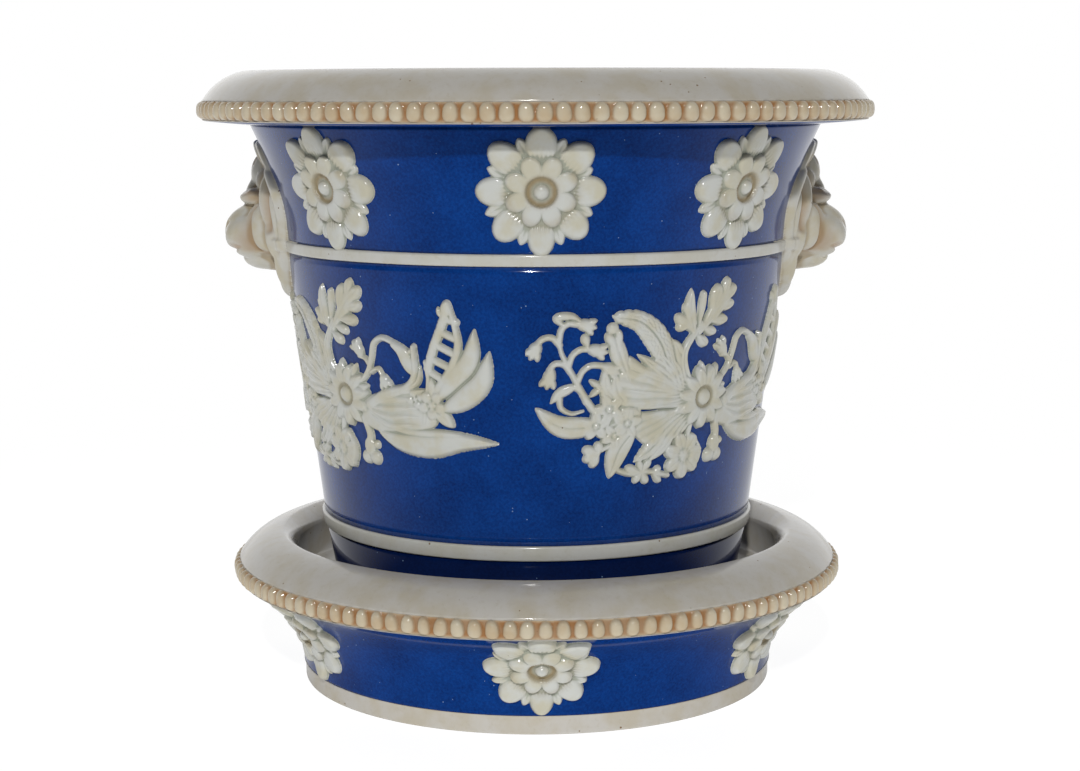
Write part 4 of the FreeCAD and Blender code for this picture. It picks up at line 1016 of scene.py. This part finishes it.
    # small leaves about the daisy, then the daisy itself
    for angle, reach, width in ((62, 10.4, 3.6), (20, 9.6, 3.4), (-18, 9.8, 3.6), (98, 10.4, 3.4),
                                (-55, 9.6, 3.4), (140, 10.2, 3.4), (200, 11.0, 3.8)):
        aim = np.array([math.cos(math.radians(angle)), math.sin(math.radians(angle))])
        m.blade([aim * 3.0, aim * reach], width, 1.75, rib=0.2)
    for i in range(11):
        angle = math.radians(8 + 360 * i / 11)
        aim = np.array([math.cos(angle), math.sin(angle)])
        m.blade([aim * 2.0, aim * 9.0], 4.5, 2.35, edge=1.0, base=0.5, crown=0.3,
                rib=0.12)
    away = np.hypot(m.u, m.v)
    m.h = np.where(away < 3.8, np.maximum(m.h, 2.0), m.h)
    m.h -= 0.85 * np.exp(-((away - 2.85) / 0.65) ** 2)
    m.h = np.maximum(m.h, 1.3 + 1.35 * np.clip(1 - (away / 2.3) ** 2, 0, None) ** 0.5
                     - 10 * (away > 2.3))
    m.stain = 0.5 * np.exp(-((away - 2.8) / 0.55) ** 2)
    return m.settle(0.55)


def sprays():
    daisy_height = 40.0
    first_azimuth = 41.2
    middle = MAIN_LOW_Z + daisy_height
    mould = spray_mould()
    first = relief_mesh("flower_spray", mould, wrapped(wall_r, wall_r(middle), middle))
    set_round(first, [first_azimuth + 90 * i for i in range(4)],
              ("front_right", "back_right", "back_left", "front_left"),
              WHITE, "pot", "flower_spray_")


sprays()


# ---------------------------------------------------------------- lion masks

def lion_surface():
    """Outward distance from the pot's axis over (sideways, height), and its stain."""
    step = 0.22
    y, z = np.meshgrid(np.arange(-31, 31 + step, step), np.arange(-27, 27 + step, step))
    middle = NECK_LOW_Z + 6.7
    neck = line_radius(neck_line(80))
    height = middle + z
    wall = np.where(height < NECK_LOW_Z, wall_r(height), neck(height))
    fillet = (height > MAIN_HIGH_Z) & (height < NECK_LOW_Z)
    skin = np.sqrt(np.clip((wall + FILLET_RELIEF * fillet) ** 2 - y ** 2, 1, None))
    base = NECK_LOW_R
    out = skin + BURIED

    def soft_max(a, b, k):
        blend = np.clip(0.5 + 0.5 * (b - a) / k, 0, 1)
        return a * (1 - blend) + b * blend + k * blend * (1 - blend)

    def ball(x, side, up, rx, ry, rz, k, turn=0.0):
        """A rounded lump on the face; one that lies to a side has a twin."""
        nonlocal out
        c, s = math.cos(math.radians(turn)), math.sin(math.radians(turn))
        for hand in ((1, -1) if side else (1,)):
            a = (hand * y - side) * c + (z - up) * s
            b = -(hand * y - side) * s + (z - up) * c
            inside = 1 - (a / ry) ** 2 - (b / rz) ** 2
            lump = base + x + rx * np.sqrt(np.clip(inside, 0, None))
            lump = np.where(inside > 0, lump, -99)
            out = np.where(inside > 0, soft_max(out, lump, k), out)

    def lock(points, width, thick):
        """A mane lock that hugs the wall."""
        nonlocal out
        for hand in (1, -1):
            line = curve_through([(hand * a, b) for a, b in points])
            t = np.linspace(0, 1, len(line))
            half = width * leaf_form(np.clip(t, 0.01, 0.99))
            away = np.hypot(y[..., None] - line[:, 0], z[..., None] - line[:, 1])
            depth = (half - away).max(-1)
            deep = np.clip(depth / (width * 0.5), 0, 1)
            lump = skin + thick * np.sqrt(1 - (1 - deep) ** 2)
            out = np.where(depth > 0, np.maximum(out, lump), out)

    def groove(points, width, depth):
        """A fold on both sides of the face, stained where the glaze lies deep."""
        nonlocal out, stain
        for hand in (1, -1):
            line = curve_through([(hand * a, b) for a, b in points])
            away = np.hypot(y[..., None] - line[:, 0], z[..., None] - line[:, 1]).min(-1)
            cut = np.exp(-(away / width) ** 2)
            out = out - depth * cut
            stain = np.maximum(stain, 0.6 * cut ** 0.6)

    stain = np.zeros_like(out)
    # mane, from the outside in
    lock([(4, 21.5), (10.5, 19), (16, 13), (19, 6)], 4.2, 1.5)
    lock([(14, 15), (19.5, 8), (20, 0), (17, -7)], 5.0, 2.6)
    lock([(18, 5), (18.5, -2), (15.5, -10), (11.5, -17)], 5.0, 2.6)
    lock([(15, 9), (16.5, 0), (13.5, -10), (9.0, -20)], 5.6, 3.6)
    lock([(12, -2), (11.5, -10), (8.5, -17), (5.5, -23)], 5.2, 4.4)
    lock([(8, -10), (6.5, -17), (3.0, -25)], 4.6, 3.6)
    lock([(4, -12), (2.4, -18), (0.6, -25.5)], 4.4, 4.0)
    lock([(1.2, 22), (5, 19), (9, 12.5)], 4.0, 2.4)
    # head
    ball(-3.0, 0, 2, 10.5, 13, 17, 1.5)
    ball(5.2, 0, 12.3, 5.2, 5.6, 6.6, 1.0)
    ball(2.4, 4.4, 14.5, 4.0, 3.2, 7.5, 0.6, -12)
    ball(1.0, 11.5, 5, 5.8, 3.4, 10.0, 0.5, 6)
    ball(0.0, 12.0, -5, 5.2, 3.8, 8.5, 0.6, -6)
    ball(4.0, 5.2, 10.0, 4.4, 3.8, 4.4, 0.6)
    ball(9.2, 3.8, 5.4, 4.2, 3.8, 2.6, 0.5)
    ball(5.4, 0, 3.4, 7.2, 4.6, 9.5, 1.0)
    ball(5.0, 7.0, -3.5, 6.6, 5.2, 8.0, 1.2)
    ball(8.2, 0, -5.0, 10.4, 7.4, 8.4, 1.4)
    ball(8.4, 3.6, -6.2, 9.6, 5.4, 7.0, 1.0)
    ball(5.0, 0, -12.8, 8.2, 6.0, 4.0, 0.7)
    # folds with glaze in them
    groove([(3.6, 7.2), (6.4, 6.6), (8.8, 7.6)], 0.8, 1.5)
    groove([(8.2, 2.0), (9.4, -4.0), (8.2, -10.0)], 1.0, 2.2)
    groove([(0.2, -10.2), (3.2, -10.6), (6.6, -9.2)], 0.7, 1.6)
    groove([(1.3, -3.6), (2.2, -2.6)], 0.6, 1.2)
    groove([(8.2, 17.0), (8.6, 10.0), (7.6, 4.8)], 1.0, 1.8)
    groove([(14.4, 14.0), (14.8, 4.0), (14.4, -4.0)], 0.9, 1.2)
    groove([(1.2, 22.0), (1.8, 15.0)], 0.6, 0.8)
    lean = np.clip((out - skin) / 0.8, 0, 1)
    stain = stain * lean
    return y, height, skin, np.minimum(blurred(out, 1.1), 94.0), stain


def masks():
    y, height, skin, out, stain = lion_surface()
    raised = np.maximum(out - skin, BURIED)
    hollow = blurred(out, 5.0) - out
    cavity = np.clip(hollow * 0.5, 0, 1) * (raised > 0.1)
    for name, sign in (("right", 1), ("left", -1)):
        points = np.stack([sign * out, sign * y, height], -1)
        thing = shown_mesh("mask_" + name, points, raised, cavity, np.clip(stain, 0, 1))
        dress(thing, WARM, "pot", "warm_white_sprig", "lion_mask_" + name)


masks()


# ---------------------------------------------------------------- stage

CAMERA_DISTANCE = 627.4
CAMERA_HEIGHT = 175.9
CAMERA_ASIDE = 1.16
CAMERA_DIP = 8.03
CAMERA_ROLL = -0.14
LENS = 69.63


def camera():
    data = bpy.data.cameras.new("camera")
    data.sensor_width = 36.0
    data.lens = LENS
    thing = bpy.data.objects.new("camera", data)
    bpy.context.scene.collection.objects.link(thing)
    place = Vector((CAMERA_ASIDE, -CAMERA_DISTANCE, CAMERA_HEIGHT)) * MM
    turn = Matrix.Rotation(math.radians(90 - CAMERA_DIP), 4, "X")
    roll = Matrix.Rotation(math.radians(CAMERA_ROLL), 4, "Z")
    thing.matrix_world = Matrix.Translation(place) @ turn @ roll
    bpy.context.scene.camera = thing


def area_light(name, place, aim, size, power):
    data = bpy.data.lights.new(name, "AREA")
    data.shape = "RECTANGLE"
    data.size, data.size_y = size
    data.energy = power
    thing = bpy.data.objects.new(name, data)
    bpy.context.scene.collection.objects.link(thing)
    thing.location = place
    thing.rotation_euler = (Vector(aim) - Vector(place)).to_track_quat("-Z", "Y").to_euler()


def ray_mix(tree, ray, one, other):
    """One shader for all rays but a kind, and another for that kind."""
    path = tree.nodes.new("ShaderNodeLightPath")
    mix = tree.nodes.new("ShaderNodeMixShader")
    tree.links.new(path.outputs[ray], mix.inputs["Fac"])
    tree.links.new(one, mix.inputs[1])
    tree.links.new(other, mix.inputs[2])
    return mix.outputs[0]


def glow(tree, kind, level):
    node = tree.nodes.new(kind)
    node.inputs["Color"].default_value = (1, 1, 1, 1)
    node.inputs["Strength"].default_value = level
    return node


def ramp(tree, value, lows, highs):
    """A smooth step of a value, from one pair of (value, level) to another."""
    node = tree.nodes.new("ShaderNodeMapRange")
    node.interpolation_type = "SMOOTHSTEP"
    node.inputs["From Min"].default_value, node.inputs["To Min"].default_value = lows
    node.inputs["From Max"].default_value, node.inputs["To Max"].default_value = highs
    tree.links.new(value, node.inputs["Value"])
    return node.outputs["Result"]


def world():
    """White behind the object, and a dim room in front of it for the glaze to mirror."""
    made = bpy.data.worlds.new("studio")
    bpy.context.scene.world = made
    made.use_nodes = True
    tree = made.node_tree
    room = tree.nodes["Background"]
    room.inputs["Color"].default_value = (1, 1, 1, 1)
    way = tree.nodes.new("ShaderNodeTexCoord")
    parts = tree.nodes.new("ShaderNodeSeparateXYZ")
    tree.links.new(way.outputs["Generated"], parts.inputs[0])
    tree.links.new(ramp(tree, parts.outputs["Y"], (-0.1, 0.04), (1.0, 1.1)),
                   room.inputs["Strength"])
    seen = glow(tree, "ShaderNodeBackground", 1.0)
    shown = ray_mix(tree, "Is Camera Ray", room.outputs[0], seen.outputs[0])
    tree.links.new(shown, tree.nodes["World Output"].inputs["Surface"])


def floor_paint():
    """A white table: it keeps part of the object's shadow, is brightest about the object,
    and mirrors dark in front and pale beside and behind."""
    material = bpy.data.materials.new("floor")
    material.use_nodes = True
    tree = material.node_tree
    place = tree.nodes.new("ShaderNodeTexCoord").outputs["Object"]
    away = tree.nodes.new("ShaderNodeVectorMath")
    away.operation = "LENGTH"
    tree.links.new(place, away.inputs[0])
    away = away.outputs["Value"]
    matt = tree.nodes.new("ShaderNodeBsdfDiffuse")
    matt.inputs["Color"].default_value = (0.95, 0.95, 0.95, 1)
    seen = glow(tree, "ShaderNodeEmission", 1.0)
    tree.links.new(ramp(tree, away, (0.12, 1.15), (0.5, 1.0)), seen.inputs["Strength"])
    mix = tree.nodes.new("ShaderNodeMixShader")
    tree.links.new(ramp(tree, away, (0.12, 0.8), (0.5, 1.0)), mix.inputs["Fac"])
    tree.links.new(matt.outputs[0], mix.inputs[1])
    tree.links.new(seen.outputs[0], mix.inputs[2])
    bounce = glow(tree, "ShaderNodeEmission", 1.0)
    tree.links.new(ramp(tree, away, (0.2, 1.25), (0.9, 0.45)), bounce.inputs["Strength"])
    lit = ray_mix(tree, "Is Diffuse Ray", mix.outputs[0], bounce.outputs[0])
    way = tree.nodes.new("ShaderNodeVectorMath")
    way.operation = "NORMALIZE"
    tree.links.new(place, way.inputs[0])
    parts = tree.nodes.new("ShaderNodeSeparateXYZ")
    tree.links.new(way.outputs["Vector"], parts.inputs[0])
    dim = glow(tree, "ShaderNodeEmission", 1.0)
    tree.links.new(ramp(tree, parts.outputs["Y"], (-1.0, 0.06), (0.7, 0.85)),
                   dim.inputs["Strength"])
    shown = ray_mix(tree, "Is Glossy Ray", lit, dim.outputs[0])
    tree.links.new(shown, tree.nodes["Material Output"].inputs["Surface"])
    return material


KEY_PLACE = (-0.06, -1.38, 0.80)
KEY_AIM = (0, 0, 0.1)
KEY_SIZE = (0.05, 0.05)
KEY_POWER = 12.5
FLOOR_HALF = 4.0


def surroundings():
    """The world, the table and the one lamp, whose glint shows in the glaze."""
    world()
    corners = np.array([(-1, -1, 0), (1, -1, 0), (1, 1, 0), (-1, 1, 0)]) * FLOOR_HALF / MM
    floor = new_object("floor", corners, [(0, 1, 2, 3)])
    floor.data.materials.append(floor_paint())
    area_light("key", KEY_PLACE, KEY_AIM, KEY_SIZE, KEY_POWER)


camera()
surroundings()
bpy.context.scene.view_settings.view_transform = "Standard"
